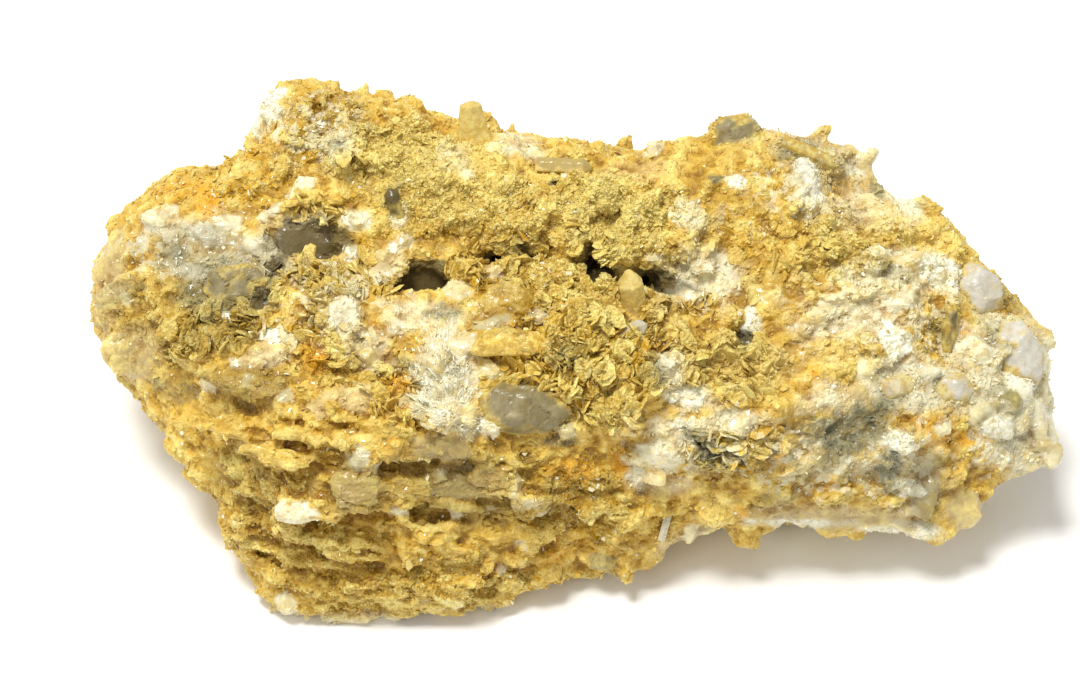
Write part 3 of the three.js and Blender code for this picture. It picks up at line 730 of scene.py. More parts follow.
standOuts = {
    "disc": crystal(303, 190, 1.5, 2.2, 0.6, -20, 0.3, talc=0.6, glass=0.7),
    "discGlint": crystal(311, 200, 0.7, 0.9, 0.5, -30, 0.2, talc=1),
    "pinkRhomb": crystal(354, 480, 3.2, 3.4, 1.4, 10, 0.65, peach=0.7, glass=0.4),
    "pinkRhombCap": crystal(363, 460, 2.3, 1.9, 1.1, 0, 0.2, talc=0.6, peach=0.4, glass=0.5),
    "lens": crystal(298, 514, 3.4, 1.3, 1, -4, 0.4, talc=0.7, glass=0.6),
    "plate": crystal(494, 480, 2.7, 2.1, 0.8, -8, 0.4, ochre=0.5, peach=0.4, glass=0.3),
    "plateEdge": crystal(513, 486, 1.1, 1.6, 0.7, -20, 0.4, talc=0.5, glass=0.6),
    "lightBar": crystal(342, 404, 5, 1.9, 1.4, 18, 0.65, peach=0.7, talc=0.1, glass=0.3),
    # own=0 gives its darkest grain tone: painted shade on this up-facing ledge
    "peachLedge": crystal(252, 390, 6, 2, 1.3, -8, 0.85, own=0, ochre=0.3, glass=0.2),
    "creamLens": crystal(264, 357, 3.9, 1.2, 1, 9, 0.6, talc=0.3, peach=0.5, glass=0.4),
    "yellowCrystal": crystal(500, 342, 6.8, 1.8, 1.8, -2, 0.35, ochre=1, glass=0.75),
    "yellowFace": crystal(503, 308, 4.2, 3.2, 1.4, 45, 0.5, ochre=1, glass=0.7),
    "whiteBlock": crystal(343, 313, 2, 2.1, 1.4, 15, 0.5, talc=0.7, glass=0.8),
    "whiteBlockLeft": crystal(275, 337, 1.6, 1.2, 1, -10, 0.4, talc=1, glass=0.4),
    "whiteFlake": crystal(352, 254, 0.8, 1.3, 0.5, 30, 0.2, talc=1),
    "creamBlock": crystal(353, 219, 1.7, 1.3, 1.1, -10, 0.4, talc=0.7, glass=0.5),
    "pinkBar": crystal(428, 447, 2.3, 1, 0.9, -12, 0.5, peach=1, glass=0.7),
    "pinkBarRight": crystal(455, 449, 1.8, 1.1, 0.9, -20, 0.5, peach=1, glass=0.7),
    "greyLedge": crystal(455, 480, 5.4, 2.1, 1.3, -6, 0.7, peach=0.5, grey=0.3, glass=0.3),
    "clearBlock": crystal(668, 368, 1.1, 2.4, 0.9, -35, 0.4, talc=0.4, grey=0.2, glass=1),
    "yellowRhomb": crystal(718, 511, 2.9, 2.2, 1.5, 14, 0.5, ochre=1, glass=0.5),
    "oliveCrystal": crystal(778, 290, 1.6, 3.2, 1.3, 12, 0.6, ochre=0.8, grey=0.2, glass=0.9),
    "oliveCrystalLeft": crystal(757, 302, 1.3, 2.4, 1.1, -10, 0.6, ochre=0.6, grey=0.3, glass=0.9),
    "clumpUpper": crystal(722, 318, 2.9, 1.6, 1.4, -6, 0.4, ochre=0.6),
    "clumpMiddle": crystal(722, 352, 1.8, 3, 1.4, -25, 0.4, ochre=0.6, peach=0.4),
    "clumpRight": crystal(765, 358, 3, 2, 1.4, 20, 0.5, peach=0.8),
    "yellowLens": crystal(979, 346, 1.5, 0.9, 0.8, -35, 0.4, talc=0.5, glass=0.5),
    "rimFacet": crystal(964, 513, 2.7, 2.3, 1.5, 40, 0.7, peach=0.8, glass=1),
    "smokyWall": crystal(926, 488, 1.6, 4.6, 1.2, -8, 0.7, peach=0.6, grey=0.4, glass=0.9),
    "paleFoot": crystal(690, 541, 5.4, 1.3, 1.2, 14, 0.5, talc=0.4, peach=0.6, glass=0.9),
    "greyTip": crystal(603, 561, 1.8, 1.3, 1.1, -20, 0.5, grey=0.6, glass=0.6),
    "columnFlank": crystal(488, 130, 2.5, 1.5, 1.6, -55, 0.1, ochre=0.4),
    "columnFoot": crystal(476, 141, 2.2, 1, 1.2, 0, 0.4, ochre=0.4),
    "tuft": crystal(273, 103, 2.4, 1.7, 1.4, 62, 0.4, talc=1, glass=0.4),
    "tuftLow": crystal(262, 124, 1.8, 1.1, 1, 50, 0.4, talc=0.8, glass=0.3),
    "crestBlock": crystal(300, 118, 2.8, 1.5, 1.3, 65, 0.5, ochre=1, glass=0.3),
    "crestGlass": crystal(283, 136, 1.5, 1.2, 1, 30, 0.4, talc=0.7, glass=1),
    "footTip": crystal(355, 618, 2.4, 1.3, 1.1, 15, 0.4, ochre=0.4, talc=0.3, glass=0.5),
    "footStep": crystal(330, 610, 1.8, 1, 1, -20, 0.4, ochre=0.4),
    "footLedge": crystal(440, 606, 3, 0.9, 1, 2, 0.4, ochre=0.3, talc=0.35),
    "footCorner": crystal(500, 602, 1.8, 1, 1, 10, 0.4, talc=0.4),
    "footRise": crystal(545, 578, 2, 1, 1, 30, 0.4, ochre=0.3),
    "footEnd": crystal(612, 566, 1.6, 1, 1, -30, 0.4, grey=0.4, talc=0.3),
    "bottomTip": crystal(288, 603, 1.6, 1.6, 1.3, 30, 0.6, talc=0.6, glass=1),
    "slabGrain": crystal(492, 428, 1.1, 1.1, 0.9, 0, 0.3, talc=0.7, glass=0.9),
    "slabGrainRight": crystal(566, 432, 1.3, 1, 0.9, 10, 0.3, talc=0.3, grey=0.4, glass=1),
    "topChip": crystal(320, 100, 2.2, 1.3, 1.2, 20, 0.6, ochre=0.8),
    "flatChip": crystal(488, 200, 1.5, 0.9, 0.7, -20, 0.3, ochre=0.6, glass=0.4),
    "glassyChip": crystal(468, 178, 0.9, 1.3, 0.8, 0, 0.3, talc=0.5, glass=1),
    "emberFlake": crystal(541, 378, 1.9, 0.9, 0.5, -5, 0.1, ochre=1),
    "emberFlakeLow": crystal(548, 398, 0.8, 1.3, 0.5, 20, 0.1, ochre=1, rust=0.4),
    "pitFill": crystal(850, 428, 3.6, 1.9, 2.2, 10, 0.35, grey=0.9, glass=0.3),
    "endBlock": crystal(1018, 385, 1.8, 2.4, 1, 20, 0.3, talc=0.8, glass=0.9),
    "endDark": crystal(1006, 400, 2.2, 1.3, 0.9, -30, 0.4, grey=0.6, glass=0.9),
    "endBlockLow": crystal(1040, 420, 1.6, 2.6, 1, 25, 0.3, talc=0.7, glass=1),
    "endWhite": crystal(1000, 427, 2.2, 1.4, 1, -20, 0.3, talc=1, glass=0.5),
    "endTipBlock": crystal(1050, 455, 2, 1.8, 1.2, 40, 0.3, talc=0.6, glass=1),
    "lowWhite": crystal(900, 445, 1.8, 1.6, 1, 0, 0.3, talc=1),
    "lowWhiteFoot": crystal(909, 487, 2.2, 1, 1, -10, 0.4, talc=1),
    "starWhite": crystal(750, 322, 1.4, 1.8, 1, 20, 0.2, talc=1, glass=0.6),
    "brightLow": crystal(893, 340, 1.4, 2.6, 1, 30, 0.3, talc=1, glass=0.6),
    "brightRight": crystal(944, 272, 3, 1.5, 1, -30, 0.5, talc=1),
    "bumpWhite": crystal(806, 178, 1.6, 2.8, 1.2, 10, 0.3, talc=0.9, glass=0.6),
    "bumpGlint": crystal(736, 181, 0.9, 0.8, 0.6, 0, 0.2, talc=1),
    "bandWhite": crystal(158, 222, 2.4, 1.4, 1, -20, 0.4, talc=0.7, glass=0.7),
    "bandBlock": crystal(206, 236, 1.8, 1.2, 1, -30, 0.4, talc=0.8, glass=0.8),
    "leftSheen": crystal(120, 290, 4, 1.6, 1, 25, 0.7, peach=0.7, grey=0.3, glass=0.8),
    "leftPlate": crystal(126, 352, 3.4, 3, 1, 20, 0.7, peach=1, glass=0.8),
}
lowerEdge = spots(left=(360, 600, 14, 2, 8), right=(560, 570, 12, 2, -14))
wholeFace = spots(face=(560, 300, 62, 34))


def field(seed, count, where, half, turn, stand, **more):
    # by its patches, half sizes in mm, turn in degrees, how far they stand up, and the share that are clear
    return {"seed": seed, "count": count, "where": where, "half": half, "turn": turn, "stand": stand, **more}


fieldLook = {
    "scatter": 22,  # degrees
    "least": 0.55,  # sizes, as shares of the half sizes
    "spread": 0.8,
    "fromQuartz": (0.8 * mm, 2.4 * mm),
    "seen": (-0.3, 0.2),  # how far a place faces out before crystals grow there
    "seenClear": (0.05, 0.4),
    "onSmooth": 0.1,  # shares on smooth stone and anywhere at all
    "stray": 0.02,
}
crystalFields = {
    "heap": field(31, 230, leafyHeap, (2, 1.4, 0.6), 65, 0.8),
    "druse": field(32, 200, druseCrust, (1.7, 1.3, 1.3), -10, 0.4),
    "right": field(33, 130, ledgeFaces["right"]["where"], (2.6, 0.6, 0.6), 20, 0.1),
    "front": field(34, 230, ledgeFaces["front"]["where"], (3, 0.6, 0.7), -10, 0.1),
    "left": field(35, 70, ledgeFaces["left"]["where"], (2.6, 0.7, 0.6), 20, 0.1),
    "foot": field(37, 150, lowerEdge, (1.8, 1, 1.2), -10, 0.5),
    "anywhere": field(36, 260, wholeFace, (1.4, 1, 0.8), 10, 0.4, clear=0.1),
    "pale": field(38, 120, whiteTalc, (1.7, 1, 0.8), -15, 0.5, clear=0.85),
}


def crystalHull(half, random):
    # the hull of points spread round a rounded block
    soup = bmesh.new()
    around = unit(random.normal(size=(22, 3)))
    around /= (np.abs(around) ** 4).sum(1, keepdims=True) ** 0.25
    for point in around * half * mm:
        soup.verts.new(point)
    hull = bmesh.ops.convex_hull(soup, input=soup.verts)
    bmesh.ops.delete(soup, geom=hull["geom_interior"], context="VERTS")
    bmesh.ops.triangulate(soup, faces=soup.faces)
    soup.verts.index_update()
    corners = np.array([v.co for v in soup.verts])
    faces = np.array([[v.index for v in f.verts] for f in soup.faces])
    soup.free()
    return corners, faces


def grownCrystal(half, place, third, turn, tones):
    # one crystal by its half sizes, its place, the way it stands out and the turn of its long side
    return {"half": half, "place": place, "third": third, "long": faceTurned(turn), "tones": tones}


def standingCrystals(tree):
    grown = []
    random = np.random.default_rng(77)
    plain = dict.fromkeys(("talc", "ochre", "rust", "peach", "grey", "glass"), 0)
    for shape in standOuts.values():
        raised = outward * (1 - 2 * shape["sink"]) * shape["half"][2] * mm
        place = np.array(placed(tree, *shape["pixel"])) + raised
        own = {**plain, "own": random.random(), **shape["tones"]}
        grown.append(grownCrystal(shape["half"], place, outward, shape["turn"], own))
    return grown


def aroundHollow(tree, surface, hollow):
    # how far each point is from the middle of a hollow, 1 at its edge, and how far it lies under the rim
    onFace = faceCoordinates(surface["points"])
    middle = faceCoordinates(np.array([placed(tree, *hollow["pixel"])]))[0]
    middle[1] -= hollowLook["rise"] * hollow.get("rise", 0)
    along, aside = alongAndAside(onFace[:, :2] - middle[:2], hollow["turn"])
    far = np.hypot(along / hollow["half"][0], aside / hollow["half"][1])
    inner, outer = hollowLook["rim"]
    band = (surface["facing"] @ outward > 0) & (far > inner) & (far < outer)
    rim = np.percentile(onFace[band, 2], hollowLook["rimLevel"])
    return far, rim - onFace[:, 2], middle, rim


def hollowWalls(tree, surface):
    # the smooth crystal that closes the back of a hollow
    grown = []
    size, aside = hollowLook["wall"], hollowLook["wallAside"]
    third = unit(outward + aside * sideways - hollowLook["wallTilt"] * upward)
    for hollow in hollows.values():
        if "wall" in hollow:
            far, under, middle, rim = aroundHollow(tree, surface, hollow)
            wide, high, deep = hollow["half"]
            where = (middle[0] - aside * wide, middle[1], rim - hollow["wall"] - size)
            # the wall takes the hollow's painted shade
            own = {"glass": 1, "deep": 0.9, "own": 0.5, "talc": 0}
            half = (size * wide, size * high, size)
            grown.append(grownCrystal(half, fromFace(np.array(where)), third, hollow["turn"], own))
    return grown


def scatteredCrystals(tree, surface):
    grown = []
    where = surface["points"]
    solid = 1 - patchValue(tree, hollowSpots, where)
    rough = 1 - (1 - fieldLook["onSmooth"]) * patchValue(tree, {**smoothGlass, **keptClear}, where)
    clear = smooth(*fieldLook["fromQuartz"], distancesTo(quartzTree, where))
    ahead = surface["facing"] @ outward
    for field in crystalFields.values():
        random = np.random.default_rng(field["seed"])
        seen = smooth(*fieldLook["seenClear" if "clear" in field else "seen"], ahead)
        weight = patchValue(tree, field["where"], where) * solid * rough * clear * seen + fieldLook["stray"]
        seat, normal = seatsOn(surface, weight, field["count"], random)[:2]
        for n in range(field["count"]):
            turn = field["turn"] + fieldLook["scatter"] * random.normal()
            third = unit(normal[n] * (1 - field["stand"]) + unit(random.normal(size=3)) * field["stand"])
            size = fieldLook["least"] + fieldLook["spread"] * random.random() ** 1.5
            own = {"own": random.random()}
            if random.random() < field.get("clear", 0):
                own.update(talc=0.3 + 0.4 * random.random(), glass=0.9, ochre=0, rust=0)
            grown.append(grownCrystal(np.array(field["half"]) * size, seat[n], third, turn, own))
    return grown


def crystalSoup(grown):
    # all the crystals in one set of arrays, with the number of the crystal each triangle is of
    random = np.random.default_rng(78)
    corners, faces, owner = [], [], []
    start = 0
    for number, shape in enumerate(grown):
        own, triangles = crystalHull(shape["half"], random)
        third = shape["third"]
        long = unit(shape["long"] - third * (shape["long"] @ third))
        corners.append(own @ np.array([long, np.cross(third, long), third]) + shape["place"])
        faces.append(triangles + start)
        owner += [number] * len(triangles)
        start += len(own)
    return np.concatenate(corners), np.concatenate(faces), np.array(owner)


def addSolid(soup, corners, faces):
    made = [soup.verts.new(corner) for corner in keptInBox(corners, stoneLook["crystalMargin"])]
    for face in faces:
        soup.faces.new([made[n] for n in face])


collars = {  # stone drawn up round a quartz crystal: how much wider, and how far below its top in mm
    "quartz_pale_near": (1.3, 0.9),
    "quartz_pale_far": (1.3, 0.9),
    "quartz_right": (1.15, 1),
    "quartz_end": (1.12, 0.9),
    "quartz_rear_lump": (1.2, 1),
    "quartz_shard": (1.5, 0.8),
    "quartz_rear_blade": (1.12, 0.7),
    "quartz_slab": (1.08, 1),
    "quartz_left": (1.1, 0.9),
}
hollowSpots = {name: spot(*h["pixel"], *h["half"][:2], h["turn"]) for name, h in hollows.items()}
talcNodes = sorted(n for n in solids if n.startswith("talc"))
quartzNodes = sorted(n for n in solids if n.startswith("quartz"))
quartzTree = treeOf(solidMesh("quartz", quartzNodes))
stone = hollowed(solidMesh("magnesiteStone", ["magnesite_mass", *talcNodes]))
stone = remeshed(stone, stoneLook["firstVoxel"])
tree = treeOf(stone)
points = pointsOf(stone)
broad = ledgeRelief(tree, points)
calm = 1 - 0.8 * patchValue(tree, smoothGlass, points)
calm *= 1 - 0.5 * patchValue(tree, ledgeFaces["front"]["where"], points)
for size, height, seed in stoneLook["clumps"]:
    broad += height * noise(points, size, seed) * calm
shapedBy(stone, broad)
print("stone broken into ledges:", len(stone.vertices), "points")

tree = treeOf(stone)
firstSurface = surfaceOf(pointsOf(stone), normalsOf(stone), trianglesOf(stone), {})
grown = standingCrystals(tree) + hollowWalls(tree, firstSurface) + scatteredCrystals(tree, firstSurface)
crystalCorners, crystalFaces, owner = crystalSoup(grown)
crystalTree = BVHTree.FromPolygons(crystalCorners.tolist(), crystalFaces.tolist())
soup = bmesh.new()
soup.from_mesh(stone)
addSolid(soup, crystalCorners, crystalFaces)
for node, (wider, lower) in collars.items():
    corners = faceCoordinates(pointsOf(solids[node]))
    middle = (corners.min(0) + corners.max(0)) / 2
    corners = middle + (corners - middle) * (wider, wider, 1) - (0, 0, lower)
    addSolid(soup, fromFace(corners), trianglesOf(solids[node]))
soup.to_mesh(stone)
soup.free()
stone = remeshed(stone, stoneLook["voxel"])
print(len(grown), "crystals grown into the stone")
print(len(stone.vertices), "points before thinning")

# thinned where it doesn't show: behind, and at the foot
hidden = np.flatnonzero((normalsOf(stone) @ outward < 0) | (pointsOf(stone)[:, 2] < stoneLook["foot"]))
ratio = min(1, stoneLook["triangles"] / (2 * len(stone.vertices)))
stone = changed(stone, "DECIMATE", {"ratio": ratio}, hidden)
tree = treeOf(stone)
points, facing, triangles = pointsOf(stone), normalsOf(stone), trianglesOf(stone)
patches = {
    "talc": whiteTalc,
    "ochre": deepOchre,
    "rust": rustOrange,
    "peach": peachStone,
    "grey": greyGreen,
    "druse": druseCrust,
    "leafy": leafyHeap,
    "dim": dimToneAndPaintedShade,
    "light": lightStone,
    "mingled": mingledStone,
    "ledge": {**ledgeFaces["front"]["where"], **ledgeFaces["left"]["where"]},
    "deep": {},
    "fringe": {},
}
tones = {name: patchValue(tree, where, points) for name, where in patches.items()}
tones["glass"] = patchValue(tree, smoothGlass, points, 0.15)


def rubble(points):
    # a tilted face for each crystal, and the grit on them, in mm; the points are in mm
    relief = np.zeros(len(points))
    for size, height, seed in stoneLook["facets"]:
        offset, numbers = grains(points / size, seed)
        tilted = (offset * (numbers - 0.5)).sum(1)
        relief += height * (tilted * stoneLook["tilt"] + stoneLook["step"] * (numbers[:, 0] - 0.5))
    for size, height, seed in stoneLook["grit"]:
        relief += height * noise(points, size, seed)
    return relief


streakLook = {
    "value": [(1.3 * mm, 1, 64)],  # size, height and seed
    "swaySize": 7 * mm,
    "sway": 0.8,
    "drawn": 4.5,
    "grain": [(1.1, 1, 0), (0.5, 0.7, 1)],  # size and height in mm, step of the seed
    "cleft": 2.1,
    "cleftFray": [(0.8 * mm, 0.25, 65)],
    "cleftEdge": 0.2,
}


def streaks(points):
    # a drawn-out grain and the clefts along it, lying the way the ledges of each part lie
    look = streakLook
    value = layered(points, look["value"])
    relief = rubble(points / mm)
    grooves = np.zeros(len(points))
    onFace = faceCoordinates(points)
    for ledges in ledgeFaces.values():
        seed = ledges["seed"]
        along, aside = alongAndAside(onFace, ledges["turn"])
        aside = aside + noise(points, look["swaySize"], seed + 5) * look["sway"]
        drawn = np.stack([along / look["drawn"], aside, onFace[:, 2]], 1)
        grain = layered(drawn, [(size, height, seed + step) for size, height, step in look["grain"]])
        share = patchValue(tree, ledges["where"], points)
        value = value * (1 - share) + grain * share
        relief = relief * (1 - share) + rubble(drawn * (1.3, 1, 1)) * share
        cleft = noise(drawn * (0.8, 1, 1), look["cleft"], seed + 2) + layered(points, look["cleftFray"])
        grooves += share * smooth(look["cleftEdge"], 0, np.abs(cleft)) * ledges["groove"]
    return 0.5 + 0.5 * value, grooves, relief


toneLook = {
    "fray": [(1.2 * mm, 0.15, 66)],
    # the strength of the painted shade within the hollows
    "deep": 0.85,
    "within": (1.4, 1.15),  # of a hollow, 1 at its edge: where its painted shade ends and where it is full
    "under": (0.8, 2),  # mm under its rim
    "lowest": (10, 8),
    "fringe": ((1.7, 1.35), (0.85, 1.05)),
    "fringeDepth": (2, 1),
    "foot": 0.65,
    "footHeight": (2.6 * mm, 1 * mm),
    "footSway": 0.6 * mm,
    "behind": {"talc": (0.7, 67), "ochre": (0.8, 68), "mingled": (0.8, 69)},  # strength, seed
    "cell": 1.1 * mm,
    "reach": 0.6 * mm,  # how near to a crystal the stone has its tones
    "reachFade": (0.55, 0.25),  # mm
}


def raiseTone(name, value):
    tones[name] = np.maximum(tones[name], value)


# painted shade within the hollows, and a fringe of flakes round them
bareSurface = surfaceOf(points, facing, triangles, {})
outerFringe, innerFringe = toneLook["fringe"]
for hollow in hollows.values():
    far, under, middle, rim = aroundHollow(tree, bareSurface, hollow)
    far = far + layered(points, toneLook["fray"])
    # painted shade: full inside the hollow and well under its rim
    dark = smooth(*toneLook["within"], far) * smooth(*toneLook["under"], under)
    raiseTone("deep", dark * smooth(*toneLook["lowest"], under))
    ringed = smooth(*outerFringe, far) * smooth(*innerFringe, far)
    raiseTone("fringe", ringed * smooth(*toneLook["fringeDepth"], np.abs(under)))
tones["streak"], grooves, relief = streaks(points)
tones["deep"] *= toneLook["deep"]

# pale along the foot in front, and patches of each kind behind
toFront = smooth(-0.5, 0, facing @ outward)
behind = 1 - smooth(-0.7, -0.2, facing @ outward)
height = points[:, 2] + toneLook["footSway"] * tones["streak"]
raiseTone("talc", toneLook["foot"] * smooth(*toneLook["footHeight"], height) * toFront)
for name, (strength, seed) in toneLook["behind"].items():
    cloud = layered(points, [(9 * mm, 1, seed), (2.6 * mm, 0.4, seed + 10)])
    raiseTone(name, strength * smooth(0.15, 0.45, cloud) * behind)
tones["own"] = grains(points / toneLook["cell"], 4)[1][:, 1]

# the crystals have tones of their own
near = [crystalTree.find_nearest(point, toneLook["reach"]) for point in points]
onCrystal = smooth(*toneLook["reachFade"], np.array([1 if n[3] is None else n[3] / mm for n in near]))
nearest = owner[[0 if n[2] is None else n[2] for n in near]]
for name in tones:
    given = np.array([c["tones"].get(name, np.nan) for c in grown])[nearest]
    share = np.where(np.isnan(given), 0, onCrystal)
    tones[name] = tones[name] * (1 - share) + np.nan_to_num(given) * share
rugged = 0.45 + tones["druse"] + 0.8 * tones["leafy"] + 0.3 * tones["ochre"] + 0.2 * tones["ledge"]
tones["rugged"] = np.clip(rugged, 0, 1)
print("finishes laid out on", len(triangles), "triangles")

calm = (1 - 0.92 * tones["glass"]) * (0.35 + 0.65 * tones["rugged"])
fine = calm * relief + (0.5 * (tones["streak"] - 0.5) - grooves) * (1 - 0.8 * tones["glass"])
points = shapedBy(stone, fine)
facing = normalsOf(stone)


def hollowness(mesh, rounds):
    # how far each point lies under its smoothed surroundings, in mm
    points, facing = pointsOf(mesh), normalsOf(mesh)
    ends = np.zeros(len(mesh.edges) * 2, np.int32)
    mesh.edges.foreach_get("vertices", ends)
    first, second = ends.reshape(-1, 2).T
    many = len(points)
    count = np.bincount(first, minlength=many) + np.bincount(second, minlength=many)
    calm = points.copy()
    for turn in range(rounds):
        for n in range(3):
            total = np.bincount(first, calm[second, n], many) + np.bincount(second, calm[first, n], many)
            calm[:, n] = total / count
    return ((calm - points) * facing).sum(1) / mm


# how far each point lies under its surroundings, which sets painted shade in creases and painted light on
# ridges
tones["cavity"] = np.clip(0.5 + 1.1 * hollowness(stone, 6) + 0.5 * hollowness(stone, 50), 0, 1)


def setTones(mesh, tones):
    for name, values in tones.items():
        attribute = mesh.attributes.new(name, "FLOAT", "POINT")
        attribute.data.foreach_set("value", values.astype(np.float32))


setTones(stone, tones)
print("stone roughened")

# shader tools


def tone(red, green, blue):
    # a colour as it looks on a screen, 0 to 255, as the light it stands for
    return tuple(((c / 255 + 0.055) / 1.055) ** 2.4 for c in (red, green, blue)) + (1,)


class Wire:
    # a socket with a value, for sums in a shader
    def __init__(self, finish, socket):
        self.finish, self.socket = finish, socket

    def maths(self, operation, *others, clamp=False):
        settings = {"operation": operation, "use_clamp": clamp}
        return self.finish.node("ShaderNodeMath", settings, [self, *others])

    def __add__(self, other):
        return self.maths("ADD", other)

    def __mul__(self, other):
        return self.maths("MULTIPLY", other)

    def __sub__(self, other):
        return self.maths("SUBTRACT", other)

    def __rsub__(self, other):
        return self.maths("MULTIPLY", -1).maths("ADD", other)

    __radd__ = __add__
    __rmul__ = __mul__

    def clamped(self):
        return self.maths("MULTIPLY", 1, clamp=True)

    def ramp(self, low, high):
        # 0 up to low and 1 from high
        limits = {"Value": self, "From Min": low, "From Max": high}
        return self.finish.node("ShaderNodeMapRange", {"interpolation_type": "SMOOTHSTEP"}, limits)


class Finish:
    # a material, and the nodes that make it
    def __init__(self, name):
        self.material = bpy.data.materials.new(name)
        self.material.use_nodes = True
        self.tree = self.material.node_tree
        self.shader = self.tree.nodes["Principled BSDF"]

    def node(self, kind, settings={}, sockets={}, output=0):
        made = self.tree.nodes.new(kind)
        for name, value in settings.items():
            setattr(made, name, value)
        if isinstance(sockets, list):
            sockets = dict(enumerate(sockets))
        for name, value in sockets.items():
            if isinstance(value, Wire):
                self.tree.links.new(value.socket, made.inputs[name])
            else:
                made.inputs[name].default_value = value
        return Wire(self, made.outputs[output])

    def attribute(self, name):
        return self.node("ShaderNodeAttribute", {"attribute_name": name}, output="Fac")

    def attributes(self, *names):
        return [self.attribute(name) for name in names]

    def speckle(self, size, detail=2.0, roughness=0.6, seed=0.0):
        # noise from 0 to 1 whose bumps are size metres apart
        place = self.node("ShaderNodeTexCoord", output="Object")
        moved = self.node("ShaderNodeVectorMath", {"operation": "ADD"}, [place, (seed, seed, seed)])
        sockets = {"Vector": moved, "Scale": 1 / size, "Detail": detail, "Roughness": roughness}
        return self.node("ShaderNodeTexNoise", {}, sockets)

    def granules(self, size, part):
        # cells size metres wide: a number for each, or the way from its middle
        place = self.node("ShaderNodeTexCoord", output="Object")
        made = self.node("ShaderNodeTexVoronoi", {}, {"Vector": place, "Scale": 1 / size}, output=part)
        return made if part == "Distance" else self.node("ShaderNodeSeparateColor", {}, [made])

    def mix(self, share, first, second):
        return self.node("ShaderNodeMix", {"data_type": "RGBA"}, {0: share, 6: first, 7: second}, output=2)

    def bump(self, height, strength, distance):
        return self.node("ShaderNodeBump", {}, {"Height": height, "Strength": strength, "Distance": distance})

    def set(self, **values):
        for name, value in values.items():
            socket = self.shader.inputs[name.replace("_", " ")]
            if isinstance(value, Wire):
                self.tree.links.new(value.socket, socket)
            else:
                socket.default_value = value
        return self.material


# finishes

stoneTones = {
    "gold": tone(218, 177, 62),
    # paler grains and patches, and painted light on ridges
    "cream": tone(244, 224, 130),
    # darker grains and streaks, and painted shade in creases
    "brown": tone(148, 104, 14),
    "sand": tone(200, 157, 44),
    "ledge": tone(186, 144, 24),
    "ochre": tone(222, 172, 24),
    "rust": tone(240, 176, 30),
    "peach": tone(218, 186, 120),
    "paleTalc": tone(236, 231, 196),
    "talc": tone(250, 250, 232),
    "grey": tone(112, 110, 80),
    # duller tone, partly painted shade
    "dim": tone(112, 92, 34),
    "glass": tone(180, 168, 124),
    # painted shade within the hollows
    "deep": tone(92, 80, 44),
    "speck": tone(92, 68, 22),
}


def stoneFinish(name, look):
    finish, t = Finish(name), stoneTones
    own, glass, cavity, rugged, streak = finish.attributes("own", "glass", "cavity", "rugged", "streak")
    ledge, ochre, peach, rust, mingled = finish.attributes("ledge", "ochre", "peach", "rust", "mingled")
    talc, light, dim, grey, deep = finish.attributes("talc", "light", "dim", "grey", "deep")
    fine = finish.speckle(0.8 * mm, 3, 0.7, seed=0.3)
    pale = finish.speckle(2.4 * mm, 3, 0.7, seed=0.9)
    granule = finish.granules(0.55 * mm, "Color")
    cells = finish.granules(1.1 * mm, "Color")
    sparkle = finish.speckle(0.4 * mm, 0, seed=1.1).ramp(0.6, 0.7)
    specks = finish.speckle(0.42 * mm, 1, seed=2.3).ramp(0.66, 0.72)

    # paler grains and streaks, and painted light where the stone stands above its surroundings
    paleAndPaintedLight = (own.ramp(0.6, 1) * 0.4 + granule.ramp(0.5, 0.9) * 0.4) * rugged + pale.ramp(0.5, 0.72) * 0.25
    paleAndPaintedLight = paleAndPaintedLight + streak.ramp(0.55, 0.85) * 0.4 + cavity.ramp(0.5, 0.1) * 0.25
    # darker grains and streaks, and painted shade in creases
    dark = (own.ramp(0.35, 0) * 0.3 + fine.ramp(0.55, 0.75) * 0.3 + granule.ramp(0.45, 0.2) * 0.3) * rugged
    dark = dark + streak.ramp(0.45, 0.15) * 0.4 + cavity.ramp(0.55, 0.95) * 0.6

    layers = [  # how much of each tone lies over those before it
        (ledge * 0.8, "ledge"),
        (ochre * 0.8, "ochre"),
        (peach * 0.85, "peach"),
        (glass * (1 - ochre) * 0.55, "glass"),
        (paleAndPaintedLight.clamped(), "cream"),
        ((dark * look["shade"]).clamped(), "brown"),
        (rust * (0.4 + 0.6 * fine.ramp(0.3, 0.6)), "rust"),
        (mingled * cells.ramp(0.5, 0.75) * 0.75, "paleTalc"),
        (mingled * cells.ramp(0.28, 0.12) * 0.35, "grey"),
        (light * 0.6, "cream"),
        ((talc * (0.5 + pale.ramp(0.4, 0.6) * 0.8)).clamped(), "paleTalc"),
        (talc.ramp(0.55, 1) * fine.ramp(0.35, 0.6), "talc"),
        # duller tone, partly painted shade
        (dim * 0.5, "dim"),
        (grey * (0.5 + 0.5 * fine.ramp(0.4, 0.6)), "grey"),
        # painted shade within the hollows
        (deep, "deep"),
        (specks * ledge * 0.7, "speck"),
    ]
    colour = finish.mix(finish.speckle(5 * mm, 3).ramp(0.35, 0.65), t["gold"], t["sand"])
    for share, key in layers:
        colour = finish.mix(share, colour, t[key])

    rough = (look["roughness"] - look["shine"] * sparkle - 0.35 * glass + 0.25 * deep).clamped()
    glaze = (sparkle * 0.7 + 0.3 * glass * (1 - deep)).clamped()
    height = finish.speckle(0.5 * mm, 3, 0.7, seed=0.5) - 0.7 * finish.granules(0.45 * mm, "Distance")
    height = height * (1 - 0.85 * glass) * (0.4 + 0.6 * rugged)
    return finish.set(Base_Color=colour, Roughness=rough, Normal=finish.bump(height, 0.85, 0.4 * mm),
                      IOR=1.62, Specular_IOR_Level=0.35, Coat_Weight=glaze, Coat_Roughness=0.12,
                      Subsurface_Weight=look["translucence"], Subsurface_Radius=(1, 0.9, 0.6),
                      Subsurface_Scale=0.7 * mm)


